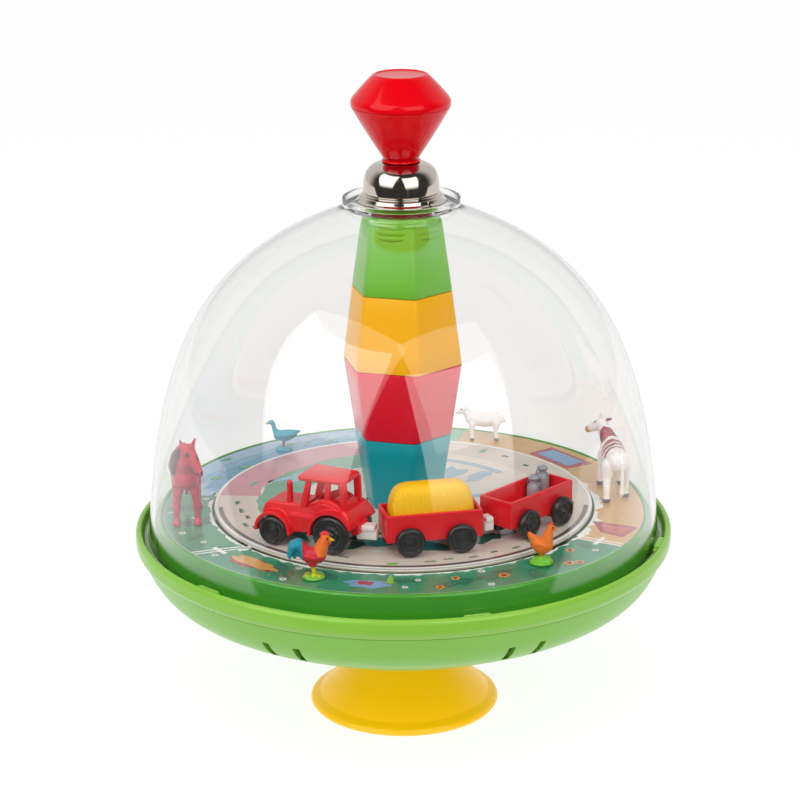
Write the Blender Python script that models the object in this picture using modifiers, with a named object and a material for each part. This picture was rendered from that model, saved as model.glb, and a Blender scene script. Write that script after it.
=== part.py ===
"""Pump spinning top with a farm scene under a clear dome.

Metres, +Z up, origin at the bottom centre of the suction cup. The front is -Y.
A hand knob and a twisted spindle are pushed down through a drive nut, which
spins the bowl, the dome and the landscape on a pivot pin in the suction foot.
A loose turntable with a tractor and two wagons turns inside on the tray's hub.
"""
import math

import bmesh
import bpy
from mathutils import Matrix, Vector

MM = 0.001
GAP = 0.3 * MM                      # clearance kept between touching solids

# Driving dimensions of the turned shells
BOWL_BOTTOM_Z = 30 * MM
BOWL_TOP_Z = 62.3 * MM
BOWL_WALL = 2 * MM
PRINT_Z = 75.4 * MM                 # top of the printed landscape
PRINT_RADIUS = 85.2 * MM
TURNTABLE_Z = 76.7 * MM             # top of the turntable
DOME_BASE_Z = 66 * MM
DOME_RADIUS = 90.4 * MM
DOME_SHOULDER_Z = 183.6 * MM
DOME_SHOULDER_RADIUS = 19 * MM
DOME_WALL = 1.8 * MM
COLLAR_RADIUS = 20.3 * MM
COLLAR_TOP_Z = 187 * MM
KNOB_NECK_Z = 200.5 * MM
KNOB_SEAM_Z = 218.6 * MM
KNOB_TOP_Z = 229.5 * MM

# Column of four hexagonal blocks: height and corner radius at each joint
COLUMN_Z = [77.0 * MM, 103.0 * MM, 128.6 * MM, 154.7 * MM, 178.0 * MM]
COLUMN_RADIUS = [13.5 * MM, 17.1 * MM, 21.4 * MM, 18.0 * MM, 14.8 * MM]
COLUMN_BORE = 8 * MM

# Pump drive
SPINDLE_WIDTH = 5 * MM
SPINDLE_THICKNESS = 1.6 * MM
SPINDLE_PITCH = 60 * MM
SPINDLE_LOW_Z = 62 * MM
SPINDLE_TOP_Z = 213 * MM
NUT_CLEARANCE = 0.45 * MM

# Road vehicles on the turntable
WHEEL_CONTACT_Z = TURNTABLE_Z + GAP
AXLE_RADIUS = 0.8 * MM
SMALL_WHEEL_RADIUS = 5.1 * MM
LARGE_WHEEL_RADIUS = 6.7 * MM
TRACTOR_REAR_XY = (-20.5 * MM, -45.7 * MM)
TRACTOR_HEADING = math.radians(154.7)
TRACTOR_WHEELBASE = 22 * MM
TRACTOR_TRACK = 16 * MM
TRACTOR_WHEEL_WIDTHS = (4.2 * MM, 3.6 * MM)          # rear and front
WHEEL_ARCH_GAP = 0.7 * MM                            # room between a tyre and its arch
AXLE_BORE_RADIUS = 1.15 * MM
WHEEL_BORE_RADIUS = 1.1 * MM

# Boxes of the tractor in its own frame, in millimetres: size, centre and rounding
CHASSIS_BOX = ((32, 7, 3.6), (11, 0, 5.4), 0)
DRIVE_BOX = ((8, 7, 5), (0, 0, 6), 0)
HOOD_BOX = ((15.2, 10.8, 7), (18.6, 0, 11), 1.2)
FLANK_BOX = ((34, 19, 4.9), (11.1, 0, 8.9), 0.9)
REAR_BOX = ((16.4, 19, 6.6), (1.4, 0, 11.9), 1.4)
SEAT_WELL_BOX = ((9.4, 9.4, 6), (3.4, 0, 16.6), 0)
BELLY_BOX = ((60, 7.6, 8), (11, 0, 5), 0)
ROOF_BOX = ((17.2, 14.4, 1.8), (4.5, 0, 24.7), 0.6)
SILL_BOX = ((17.2, 12.8, 0.8), (3.9, 0, 15.9), 0)
CAB_OPENING_BOX = ((11, 9, 4), (3.9, 0, 15.9), 0)
POST_XS = ((-3.4, -3.1), (2.8, 2.7), (11.2, 9.4))    # foot and head of each post
POST_YS = (5.4, 5.2)
POST_ZS = (16.0, 24.4)
POST_RADIUS = 0.9 * MM
EXHAUST_XY = (17.8, 3.5)
EXHAUST_ZS = (14.8, 21.2)
EXHAUST_RADII = (1.1 * MM, 0.95 * MM)

# Wagons and their loads
WAGON_LENGTH = 33 * MM
WAGON_WIDTH = 14 * MM
WAGON_LOW_Z = 81.5 * MM
WAGON_TOP_Z = 91 * MM
WAGON_FLOOR_Z = 84.2 * MM
WAGON_TRACK = 17.7 * MM
WAGON_WHEEL_WIDTH = 2.8 * MM
WAGON_AXLE_STEP = 17.6 * MM
WAGON_WALL = 1.2 * MM
WAGON_BORE_GAP = 0.35 * MM
COUPLING_WIDTH = 3.6 * MM
COUPLING_HEIGHT = 5 * MM
COUPLING_Z = 83.4 * MM
HAY_BOX = ((29, 11, 15.3), (0, 0, 92.2), 2.6)
CHURNS = ((12.4, 3.2, 10.7), (7.3, 3.0, 8.4))        # place in the wagon and height
WAGONS = [((9.1 * MM, -46.0 * MM), math.radians(12.5)),
          ((42.3 * MM, -27.4 * MM), math.radians(47.2))]

LARGE_STEPS = 32                    # segments of the large turned shells
MEDIUM_STEPS = 20
SMALL_STEPS = 12

part_collection = None
cutter_collection = None


# ---------------------------------------------------------------- helpers
def clear_scene():
    """Remove every object of the open scene."""
    for old in list(bpy.data.objects):
        bpy.data.objects.remove(old, do_unlink=True)


def new_collection(name):
    """Add a collection under the scene."""
    made = bpy.data.collections.new(name)
    bpy.context.scene.collection.children.link(made)
    return made


def material(name, colour, roughness, metallic=0.0, transmission=0.0):
    """Principled material, made once for each name."""
    found = bpy.data.materials.get(name)
    if found:
        return found
    made = bpy.data.materials.new(name)
    made.use_nodes = True
    shader = made.node_tree.nodes["Principled BSDF"]
    shader.inputs["Base Color"].default_value = (*colour, 1.0)
    shader.inputs["Roughness"].default_value = roughness
    shader.inputs["Metallic"].default_value = metallic
    shader.inputs["Transmission Weight"].default_value = transmission
    return made


def add_mesh_object(name, mesh, look=None, matrix=None):
    """Link a mesh as a part, or as a cutter when it has no material."""
    made = bpy.data.objects.new(name, mesh)
    if matrix is not None:
        made.matrix_world = matrix
    if look is None:
        cutter_collection.objects.link(made)
        made.hide_render = True
        made.display_type = "WIRE"
    else:
        part_collection.objects.link(made)
        mesh.materials.clear()
        mesh.materials.append(look)
    return made


def mesh_from_bmesh(name, work):
    """Turn a bmesh into mesh data and free it."""
    mesh = bpy.data.meshes.new(name)
    bmesh.ops.recalc_face_normals(work, faces=work.faces)
    work.to_mesh(mesh)
    work.free()
    return mesh


def smooth(obj, angle=35):
    """Shade round faces smooth and keep the edges crisp."""
    obj.data.shade_smooth()
    obj.data.set_sharp_from_angle(angle=math.radians(angle))


def bezier(start, handle_a, handle_b, end, count):
    """Points on a cubic curve through a turned profile."""
    points = []
    for step in range(count + 1):
        t = step / count
        weights = ((1 - t) ** 3, 3 * (1 - t) ** 2 * t, 3 * (1 - t) * t ** 2, t ** 3)
        corners = (start, handle_a, handle_b, end)
        points.append(tuple(sum(w * c[axis] for w, c in zip(weights, corners)) for axis in (0, 1)))
    return points


def mm_points(*pairs):
    """Profile points given in millimetres."""
    return [(r * MM, z * MM) for r, z in pairs]


def inset_curve(points, distance):
    """Shift an open profile sideways towards the axis side of its path."""
    shifted = []
    for index, (r, z) in enumerate(points):
        before = points[max(index - 1, 0)]
        after = points[min(index + 1, len(points) - 1)]
        along = Vector((after[0] - before[0], after[1] - before[1])).normalized()
        shifted.append((r - along.y * distance, z + along.x * distance))
    return shifted


def turned(name, outline, look, steps):
    """Turn a closed (radius, height) outline about Z with a Screw modifier."""
    area = sum(a[0] * b[1] - b[0] * a[1] for a, b in zip(outline, outline[1:] + outline[:1]))
    points = list(outline) if area < 0 else list(reversed(outline))
    touches_axis = min(r for r, z in points) < 1e-7
    edges = [(i, (i + 1) % len(points)) for i in range(len(points))]
    if touches_axis:
        edges = [e for e in edges if points[e[0]][0] > 1e-7 or points[e[1]][0] > 1e-7]
    mesh = bpy.data.meshes.new(name)
    mesh.from_pydata([(r, 0, z) for r, z in points], edges, [])
    made = add_mesh_object(name, mesh, look)
    screw = made.modifiers.new("turn", "SCREW")
    screw.axis = "Z"
    screw.steps = steps
    screw.render_steps = steps
    screw.use_merge_vertices = True
    screw.merge_threshold = 0.00001
    screw.use_normal_calculate = False
    bake(made)
    smooth(made)
    return made


def bake(obj):
    """Replace an object's mesh by its evaluated one and drop the modifiers."""
    graph = bpy.context.evaluated_depsgraph_get()
    mesh = bpy.data.meshes.new_from_object(obj.evaluated_get(graph))
    mesh.name = obj.name
    obj.modifiers.clear()
    obj.data = mesh


def scaled(values):
    """Millimetres to metres for a triple."""
    return tuple(v * MM for v in values)


def box_mesh(name, size, centre=(0, 0, 0), bevel=0.0):
    """Box with optional rounded edges, as mesh data."""
    work = bmesh.new()
    bmesh.ops.create_cube(work, size=1.0)
    bmesh.ops.scale(work, vec=size, verts=work.verts)
    if bevel:
        bmesh.ops.bevel(work, geom=work.edges[:], offset=bevel, segments=1, affect="EDGES")
    bmesh.ops.translate(work, vec=centre, verts=work.verts)
    return mesh_from_bmesh(name, work)


def rounded_box(name, box):
    """Box given in millimetres by its size, centre and rounding, as mesh data."""
    size, centre, bevel = box
    return box_mesh(name, scaled(size), scaled(centre), bevel * MM)


def rod_mesh(name, radius, depth, steps=SMALL_STEPS, radius_top=None, rotation=None, centre=(0, 0, 0)):
    """Cylinder or cone, as mesh data; its axis is Z before the rotation."""
    work = bmesh.new()
    top = radius if radius_top is None else radius_top
    bmesh.ops.create_cone(work, cap_ends=True, segments=steps, radius1=radius, radius2=top, depth=depth)
    if rotation is not None:
        bmesh.ops.rotate(work, cent=(0, 0, 0), matrix=rotation.to_3x3(), verts=work.verts)
    bmesh.ops.translate(work, vec=centre, verts=work.verts)
    return mesh_from_bmesh(name, work)


def ball_mesh(name, size, centre=(0, 0, 0), tilt=0.0, rows=6):
    """Ellipsoid of the given half sizes, pitched about Y by tilt, as mesh data."""
    work = bmesh.new()
    bmesh.ops.create_uvsphere(work, u_segments=rows + 2, v_segments=rows, radius=1.0)
    bmesh.ops.scale(work, vec=size, verts=work.verts)
    bmesh.ops.rotate(work, cent=(0, 0, 0), matrix=Matrix.Rotation(tilt, 3, "Y"), verts=work.verts)
    bmesh.ops.translate(work, vec=centre, verts=work.verts)
    return mesh_from_bmesh(name, work)


def limb_mesh(name, start, end, radius_start, radius_end, steps=6):
    """Tapered round limb between two points, as mesh data."""
    start, end = Vector(start), Vector(end)
    along = end - start
    turn = along.to_track_quat("Z", "Y").to_matrix().to_4x4()
    return rod_mesh(name, radius_start, along.length, steps, radius_end, turn, (start + end) / 2)


def combine(obj, meshes, operation):
    """Join further meshes to an object, or cut them from it, one by one."""
    for index, mesh in enumerate(meshes):
        tool = add_mesh_object(f"{obj.name}_tool_{index}", mesh)
        tool.matrix_world = obj.matrix_world
        step = obj.modifiers.new("combine", "BOOLEAN")
        step.operation = operation
        step.solver = "EXACT"
        step.object = tool
    bpy.context.view_layer.update()
    bake(obj)
    for tool in [t for t in cutter_collection.objects if t.name.startswith(obj.name + "_tool_")]:
        bpy.data.objects.remove(tool, do_unlink=True)
    return obj


def joined(name, meshes, look, matrix=None):
    """One solid from overlapping meshes."""
    made = add_mesh_object(name, meshes[0], look, matrix)
    if len(meshes) > 1:
        combine(made, meshes[1:], "UNION")
    smooth(made)
    return made


def place(x, y, z, heading):
    """Matrix of a frame whose X axis points along the heading."""
    return Matrix.Translation((x, y, z)) @ Matrix.Rotation(heading, 4, "Z")


# ---------------------------------------------------------------- materials
def yellow_vinyl():
    return material("yellow_vinyl", (0.83, 0.43, 0.01), 0.45)


def steel():
    return material("steel", (0.6, 0.6, 0.62), 0.3, 1.0)


def nylon():
    return material("white_nylon", (0.8, 0.8, 0.78), 0.5)


def green_plastic():
    return material("green_plastic", (0.26, 0.52, 0.08), 0.3)


def clear_plastic():
    return material("clear_plastic", (0.95, 0.97, 0.97), 0.05, 0.0, 1.0)


def nickel():
    return material("nickel_plate", (0.7, 0.64, 0.58), 0.12, 1.0)


def red_plastic():
    return material("red_plastic", (0.68, 0.02, 0.03), 0.25)


def printed_card():
    return material("printed_card", (0.05, 0.25, 0.14), 0.35)


def road_plastic():
    return material("road_plastic", (0.62, 0.55, 0.49), 0.2)


def black_plastic():
    return material("black_plastic", (0.03, 0.027, 0.03), 0.5)


# ---------------------------------------------------------------- foot
def build_foot():
    """Suction cup with the steel pivot that the top spins on."""
    outline = mm_points((29.8, 0), (33.2, 0), (34.1, 1.4), (33.2, 2.6), (30.5, 4.0), (27.3, 7.0),
                        (25.9, 9.0), (22.6, 12.4), (19.0, 16.0), (16.4, 20.0), (15.4, 24.0),
                        (15.0, 26.0), (2.8, 26.0), (2.8, 11.0), (0.0, 11.0), (0.0, 9.4),
                        (9.0, 9.0), (18.0, 7.2), (25.0, 4.0), (28.6, 1.2))
    turned("suction_cup", outline, yellow_vinyl(), MEDIUM_STEPS)
    pin = mm_points((0, 11.3), (2.5, 11.3), (2.5, 41.4), (1.8, 41.4), (1.8, 42.8), (2.5, 42.8),
                    (2.5, 43.6), (1.4, 45.0), (0, 45.4))
    turned("pivot_pin", pin, steel(), SMALL_STEPS)
    washer = mm_points((2.8, 26.3), (7.0, 26.3), (7.0, 27.3), (2.8, 27.3))
    turned("thrust_washer", washer, nylon(), SMALL_STEPS)
    ring = mm_points((2.1, 41.7), (5.0, 41.7), (5.0, 42.5), (2.1, 42.5))
    clip = turned("retaining_clip", ring, steel(), SMALL_STEPS)
    mouth = box_mesh("mouth", (6 * MM, 2.4 * MM, 4 * MM), (4 * MM, 0, 42 * MM))
    combine(clip, [mouth], "DIFFERENCE")


# ---------------------------------------------------------------- spinning shell
def bowl_outer():
    """Outer profile of the bowl, from its flat bottom up to the rim."""
    lower = bezier((30 * MM, BOWL_BOTTOM_Z), (48 * MM, 31.5 * MM), (62 * MM, 37 * MM), (75 * MM, 44.3 * MM), 3)
    upper = bezier((75 * MM, 44.3 * MM), (88.6 * MM, 48.7 * MM), (90 * MM, 55.7 * MM), (93.2 * MM, BOWL_TOP_Z), 4)
    return lower + upper[1:]


def slot_cutter(azimuth, lean):
    """Slanted prism that cuts one humming slot through the bowl's side."""
    work = bmesh.new()
    bmesh.ops.create_cube(work, size=1.0)
    bmesh.ops.scale(work, vec=(2.6 * MM, 14 * MM, 6.5 * MM), verts=work.verts)
    shear = Matrix.Identity(4)
    shear[0][2] = lean
    bmesh.ops.transform(work, matrix=shear, verts=work.verts)
    move = Matrix.Rotation(azimuth, 4, "Z") @ Matrix.Translation((0, -87 * MM, 51.6 * MM))
    bmesh.ops.transform(work, matrix=move, verts=work.verts)
    return mesh_from_bmesh("slot", work)


def build_bowl():
    """Lower bowl with the pivot hub and pairs of humming slots."""
    outer = bowl_outer()
    inner = [(r, z) for r, z in inset_curve(outer, BOWL_WALL)]
    inner[0] = (outer[0][0], BOWL_BOTTOM_Z + BOWL_WALL)
    inner[-1] = (outer[-1][0] - BOWL_WALL, BOWL_TOP_Z)
    hub = mm_points((6.3, 30.0))
    boss = mm_points((9.0, 32.0), (9.0, 40.8), (6.3, 40.8))
    outline = hub + outer + list(reversed(inner)) + boss
    bowl = turned("bowl", outline, green_plastic(), LARGE_STEPS)
    cuts = []
    for centre in (27, 90, 153, 207, 270, 333):
        side = -1 if centre > 180 else 1
        for offset in (-3.7, 3.7):
            cuts.append(slot_cutter(math.radians(centre + offset), 0.45 * side))
    combine(bowl, cuts, "DIFFERENCE")
    smooth(bowl)
    bush = mm_points((2.8, 27.6), (9.0, 27.6), (9.0, 29.7), (6.0, 29.7), (6.0, 41.2), (2.8, 41.2))
    turned("hub_bush", bush, nylon(), SMALL_STEPS)


def build_rim():
    """Rim ring with a channel for the dome's foot and six locking lugs."""
    outline = mm_points((93.6, 62.6), (95.0, 64.4), (95.0, 68.6), (94.3, 69.6), (93.3, 69.6), (92.7, 68.8),
                        (92.7, 65.0), (88.4, 65.0), (88.4, 62.6))
    ring = turned("rim_ring", outline, green_plastic(), LARGE_STEPS)
    lugs = []
    for index in range(6):
        lug = box_mesh("lug", (8 * MM, 2.4 * MM, 1.6 * MM), (0, 92.6 * MM, 67.9 * MM))
        lug.transform(Matrix.Rotation(math.radians(15 + 60 * index), 4, "Z"))
        lugs.append(lug)
    combine(ring, lugs, "UNION")
    smooth(ring)


def dome_outer():
    """Outer profile of the dome from its base up to the collar."""
    return bezier((DOME_RADIUS, DOME_BASE_Z + 0.8 * MM), (85.7 * MM, 138.1 * MM), (68.1 * MM, 165.9 * MM),
                  (DOME_SHOULDER_RADIUS, DOME_SHOULDER_Z), 9)


def build_dome():
    """Clear dome with a foot flange and an upstanding collar round its neck."""
    outer = dome_outer()
    inner = inset_curve(outer, DOME_WALL)
    inner[0] = (DOME_RADIUS - DOME_WALL, DOME_BASE_Z)
    inner[-1] = (DOME_SHOULDER_RADIUS, DOME_SHOULDER_Z - DOME_WALL)
    foot = mm_points((92.2, 66.0), (92.2, 66.7))
    collar = [(COLLAR_RADIUS, 184.4 * MM), (COLLAR_RADIUS, COLLAR_TOP_Z)]
    collar += mm_points((19.1, 187.0), (19.1, 185.2), (11.2, 185.2), (11.2, 183.2), (17.0, 183.0))
    outline = foot + outer + collar + list(reversed(inner))
    turned("dome", outline, clear_plastic(), LARGE_STEPS)


def build_cap():
    """Nickel-plated cap over the drive nut, with three slits in its flange."""
    bell = bezier((13.2 * MM, 189.6 * MM), (12.3 * MM, 196.4 * MM), (11.4 * MM, 198.2 * MM), (6.8 * MM, 200.1 * MM), 5)
    inside = inset_curve(bell, 0.8 * MM)
    foot = mm_points((11.3, 185.5), (15.4, 185.5), (15.4, 186.3), (13.9, 187.0), (13.6, 188.6))
    top = mm_points((4.0, 200.1), (4.0, 199.2))
    inner_foot = mm_points((12.2, 188.6), (11.3, 187.4))
    outline = foot + bell + top + list(reversed(inside)) + inner_foot
    cap = turned("metal_cap", outline, nickel(), MEDIUM_STEPS)
    slits = []
    for index in range(3):
        slit = box_mesh("slit", (0.8 * MM, 4 * MM, 4 * MM), (0, -16.2 * MM, 186 * MM))
        slit.transform(Matrix.Rotation(math.radians(40 + 120 * index), 4, "Z"))
        slits.append(slit)
    combine(cap, slits, "DIFFERENCE")
    smooth(cap)


def build_tray():
    """Landscape tray: hub tube, turntable well, printed step and skirt."""
    outline = mm_points((10.0, 76.6), (10.0, 73.4), (66.0, 73.4), (67.6, 74.3), (67.9, 74.3), (85.5, 74.3),
                        (85.5, 75.6), (86.7, 75.6), (87.1, 74.8), (87.1, 60.6), (85.8, 60.6),
                        (85.8, 73.1), (68.6, 73.1), (66.6, 72.0), (8.6, 72.0), (8.6, 76.6))
    turned("landscape_tray", outline, green_plastic(), LARGE_STEPS)
    card = [(67.8 * MM, 74.6 * MM), (PRINT_RADIUS, 74.6 * MM), (PRINT_RADIUS, PRINT_Z), (67.8 * MM, PRINT_Z)]
    turned("landscape_card", card, printed_card(), LARGE_STEPS)


def column_block(name, low, look):
    """One hollow hexagonal block of the column; low is its index from below."""
    bottom = COLUMN_Z[low] + (GAP / 2 if low else 0)
    top = COLUMN_Z[low + 1] - (GAP / 2 if low < 3 else 0)
    work = bmesh.new()
    bmesh.ops.create_cone(work, cap_ends=True, segments=6, radius1=COLUMN_RADIUS[low],
                          radius2=COLUMN_RADIUS[low + 1], depth=top - bottom)
    uprights = [e for e in work.edges if abs(e.verts[0].co.z - e.verts[1].co.z) > 1 * MM]
    bmesh.ops.bevel(work, geom=uprights, offset=1.2 * MM, segments=2, profile=0.5, affect="EDGES")
    bmesh.ops.translate(work, vec=(0, 0, (top + bottom) / 2), verts=work.verts)
    # create_cone starts its first corner on +Y, so a half turn brings it to the front
    bmesh.ops.rotate(work, cent=(0, 0, 0), matrix=Matrix.Rotation(math.pi + math.radians(14), 3, "Z"),
                     verts=work.verts)
    block = add_mesh_object(name, mesh_from_bmesh(name, work), look)
    if low == 3:
        neck = turned("neck", mm_points((0, 177), (13.8, 177), (13.8, 179.0), (13.2, 179.2), (13.2, 180.6),
                                        (0, 180.6)), look, MEDIUM_STEPS)
        mesh = neck.data
        bpy.data.objects.remove(neck, do_unlink=True)
        combine(block, [mesh], "UNION")
    bore = rod_mesh("bore", COLUMN_BORE, 140 * MM, SMALL_STEPS, centre=(0, 0, 130 * MM))
    cuts = [bore]
    if low == 3:
        cuts.append(rod_mesh("seat", 10.2 * MM, 8 * MM, MEDIUM_STEPS, centre=(0, 0, 180.2 * MM)))
    combine(block, cuts, "DIFFERENCE")
    smooth(block, 20)


def build_column():
    """Four coloured blocks that carry the dome on the tray's hub."""
    column_block("column_teal", 0, material("teal_plastic", (0.0, 0.24, 0.29), 0.25))
    column_block("column_red", 1, red_plastic())
    column_block("column_yellow", 2, material("yellow_plastic", (0.93, 0.46, 0.0), 0.25))
    column_block("column_green", 3, material("leaf_plastic", (0.19, 0.48, 0.05), 0.25))


def build_ratchet():
    """Ring of saw teeth on the column's top that the drive nut catches."""
    teeth = 8
    inner, outer = 5.4 * MM, 9.8 * MM
    base, root, tip = 176.5 * MM, 178.6 * MM, 180.4 * MM
    work = bmesh.new()
    rings = []
    for index in range(teeth):
        for share, height in ((0.0, root), (0.5, (root + tip) / 2), (0.94, tip)):
            angle = (index + share) * math.tau / teeth
            column = [Vector((r * math.cos(angle), r * math.sin(angle), z))
                      for r, z in ((inner, base), (outer, base), (outer, height), (inner, height))]
            rings.append([work.verts.new(point) for point in column])
    for here, after in zip(rings, rings[1:] + rings[:1]):
        for side in range(4):
            other = (side + 1) % 4
            work.faces.new((here[side], after[side], after[other], here[other]))
    bmesh.ops.triangulate(work, faces=work.faces)
    # the ring's base rests on a shoulder in the green block
    add_mesh_object("ratchet_ring", mesh_from_bmesh("ratchet_ring", work), nylon())


# ---------------------------------------------------------------- pump
def twisted_bar(name, low, high, width, thickness):
    """Flat bar twisted right-handed about Z, as mesh data."""
    step = 2.5 * MM
    count = max(1, round((high - low) / step))
    work = bmesh.new()
    rows = []
    for index in range(count + 1):
        z = low + (high - low) * index / count
        turn = math.tau * z / SPINDLE_PITCH
        corners = [(-width / 2, -thickness / 2), (0, -thickness / 2), (width / 2, -thickness / 2),
                   (width / 2, thickness / 2), (0, thickness / 2), (-width / 2, thickness / 2)]
        rows.append([work.verts.new((x * math.cos(turn) - y * math.sin(turn),
                                     x * math.sin(turn) + y * math.cos(turn), z)) for x, y in corners])
    for here, after in zip(rows, rows[1:]):
        for side in range(6):
            other = (side + 1) % 6
            work.faces.new((here[side], here[other], after[other], after[side]))
    work.faces.new(list(reversed(rows[0])))
    work.faces.new(rows[-1])
    bmesh.ops.triangulate(work, faces=work.faces)
    return mesh_from_bmesh(name, work)


def build_pump():
    """Knob of two snapped shells on the twisted steel spindle with its stop."""
    low = bezier((16.7 * MM, KNOB_SEAM_Z - 0.1 * MM), (15 * MM, 215.2 * MM), (8.2 * MM, 203.9 * MM),
                 (6.6 * MM, KNOB_NECK_Z), 6)
    neck = mm_points((6.6, 200.5), (3.3, 200.5), (3.3, 214.0), (5.2, 214.0), (5.2, 204.2))
    inside = mm_points((6.2, 204.2), (11.4, 213.6), (14.6, 218.5))
    turned("knob_lower", low[:-1] + neck + inside, red_plastic(), MEDIUM_STEPS)
    high = bezier((8.4 * MM, KNOB_TOP_Z), (9.8 * MM, 229.7 * MM), (18.9 * MM, 219.2 * MM),
                  (16.75 * MM, KNOB_SEAM_Z + 0.2 * MM), 6)
    hollow = mm_points((14.6, 218.8), (12.4, 223.4), (7.6, 227.6), (0, 227.6))
    turned("knob_upper", [(0, KNOB_TOP_Z)] + high + hollow, red_plastic(), MEDIUM_STEPS)
    bar = twisted_bar("spindle", SPINDLE_LOW_Z, SPINDLE_TOP_Z, SPINDLE_WIDTH, SPINDLE_THICKNESS)
    add_mesh_object("spindle", bar, steel())
    stop = mm_points((0, 59.0), (4.6, 59.0), (5.2, 59.8), (5.2, 61.0), (4.6, 61.7), (0, 61.7))
    turned("stop_button", stop, black_plastic(), SMALL_STEPS)


def build_drive_nut():
    """Red drive nut whose twisted slot follows the spindle."""
    outline = mm_points((3.9, 180.9), (10.4, 180.9), (10.4, 184.6), (8.4, 187.0), (8.4, 195.0), (0, 195.0),
                        (0, 189.0), (3.9, 189.0))
    nut = turned("drive_nut", outline, material("drive_red", (0.5, 0.012, 0.016), 0.35), MEDIUM_STEPS)
    slot = twisted_bar("slot", 186 * MM, 198 * MM, SPINDLE_WIDTH + 2 * NUT_CLEARANCE,
                       SPINDLE_THICKNESS + 2 * NUT_CLEARANCE)
    combine(nut, [slot], "DIFFERENCE")


# ---------------------------------------------------------------- carousel
def build_turntable():
    """Loose disc that carries the vehicles round the tray's hub."""
    disc = mm_points((13.0, 73.9), (64.6, 73.9), (66.8, 75.4), (67.1, 76.2), (66.6, 76.7), (13.0, 76.7))
    turned("turntable", disc, road_plastic(), LARGE_STEPS)
    bush = mm_points((10.3, 73.7), (12.7, 73.7), (12.7, 76.7), (10.3, 76.7))
    turned("turntable_bush", bush, nylon(), MEDIUM_STEPS)


def wheel_mesh(name, radius, width):
    """Moulded wheel on the X axis of its own frame, with a raised hub and bore."""
    half = width / 2
    step = 0.5 * MM
    outline = [(WHEEL_BORE_RADIUS, -half), (radius, -half), (radius, half - step), (radius - step, half),
               (radius * 0.6, half), (radius * 0.5, half - step), (WHEEL_BORE_RADIUS, half - step)]
    wheel = turned(name, outline, black_plastic(), SMALL_STEPS)
    mesh = wheel.data
    bpy.data.objects.remove(wheel, do_unlink=True)
    mesh.transform(Matrix.Rotation(math.radians(-90), 4, "X"))
    return mesh


def build_axle_set(label, centre, heading, radius, width, track):
    """Axle across the vehicle with a wheel at each end, on one joint axis."""
    matrix = place(centre[0], centre[1], WHEEL_CONTACT_Z + radius, heading)
    length = track + width - 0.6 * MM
    across = Matrix.Rotation(math.radians(90), 4, "X")
    axle = rod_mesh("axle", AXLE_RADIUS, length, 12, rotation=across)
    add_mesh_object(f"{label}_axle", axle, steel(), matrix)
    for side, word in ((1, "left"), (-1, "right")):
        mesh = wheel_mesh(f"{label}_wheel_{word}", radius, width)
        turn = Matrix.Identity(4) if side == 1 else Matrix.Rotation(math.pi, 4, "Z")
        offset = Matrix.Translation((0, side * track / 2, 0))
        add_mesh_object(f"{label}_wheel_{word}", mesh, black_plastic(), matrix @ offset @ turn)


def arch_mesh(x, z, radius, width=30 * MM):
    """Cylinder across the vehicle that clears a pair of wheels."""
    across = Matrix.Rotation(math.radians(90), 4, "X")
    return rod_mesh("arch", radius, width, SMALL_STEPS, rotation=across, centre=(x, 0, z))


def build_tractor():
    """Tractor in its own frame: X forward from the rear axle, Z from the road."""
    frame = place(*TRACTOR_REAR_XY, WHEEL_CONTACT_Z, TRACTOR_HEADING)
    base = TRACTOR_WHEELBASE
    front_z, rear_z = SMALL_WHEEL_RADIUS, LARGE_WHEEL_RADIUS
    holes = [arch_mesh(0, rear_z, AXLE_BORE_RADIUS), arch_mesh(base, front_z, AXLE_BORE_RADIUS)]
    chassis = joined("tractor_chassis", [rounded_box("beam", CHASSIS_BOX), rounded_box("drive", DRIVE_BOX)],
                     black_plastic(), frame)
    combine(chassis, holes, "DIFFERENCE")
    masses = [rounded_box("hood", HOOD_BOX), rounded_box("flank", FLANK_BOX), rounded_box("rear", REAR_BOX)]
    body = joined("tractor_body", masses, red_plastic(), frame)
    arches = [arch_mesh(0, rear_z, LARGE_WHEEL_RADIUS + WHEEL_ARCH_GAP),
              arch_mesh(base, front_z, SMALL_WHEEL_RADIUS + WHEEL_ARCH_GAP)]
    combine(body, [rounded_box("well", SEAT_WELL_BOX), rounded_box("belly", BELLY_BOX)] + arches, "DIFFERENCE")
    smooth(body)
    posts = []
    for side in (-1, 1):
        for foot_x, head_x in POST_XS:
            start = scaled((foot_x, side * POST_YS[0], POST_ZS[0]))
            end = scaled((head_x, side * POST_YS[1], POST_ZS[1]))
            posts.append(limb_mesh("post", start, end, POST_RADIUS, POST_RADIUS, 6))
    cab = joined("tractor_cab", [rounded_box("roof", ROOF_BOX), rounded_box("sill", SILL_BOX)] + posts,
                 red_plastic(), frame)
    combine(cab, [rounded_box("open", CAB_OPENING_BOX)], "DIFFERENCE")
    low, high = EXHAUST_ZS
    tip = EXHAUST_RADII[1]
    pipe = [rod_mesh("pipe", EXHAUST_RADII[0], (high - low) * MM, 10, tip,
                     centre=scaled((*EXHAUST_XY, (low + high) / 2))),
            ball_mesh("tip", (tip, tip, tip), scaled((*EXHAUST_XY, high)), rows=6)]
    joined("tractor_exhaust", pipe, red_plastic(), frame)
    forward = Vector((math.cos(TRACTOR_HEADING), math.sin(TRACTOR_HEADING)))
    front = Vector(TRACTOR_REAR_XY) + forward * base
    build_axle_set("tractor_rear", TRACTOR_REAR_XY, TRACTOR_HEADING, LARGE_WHEEL_RADIUS,
                   TRACTOR_WHEEL_WIDTHS[0], TRACTOR_TRACK)
    build_axle_set("tractor_front", tuple(front), TRACTOR_HEADING, SMALL_WHEEL_RADIUS,
                   TRACTOR_WHEEL_WIDTHS[1], TRACTOR_TRACK)


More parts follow.
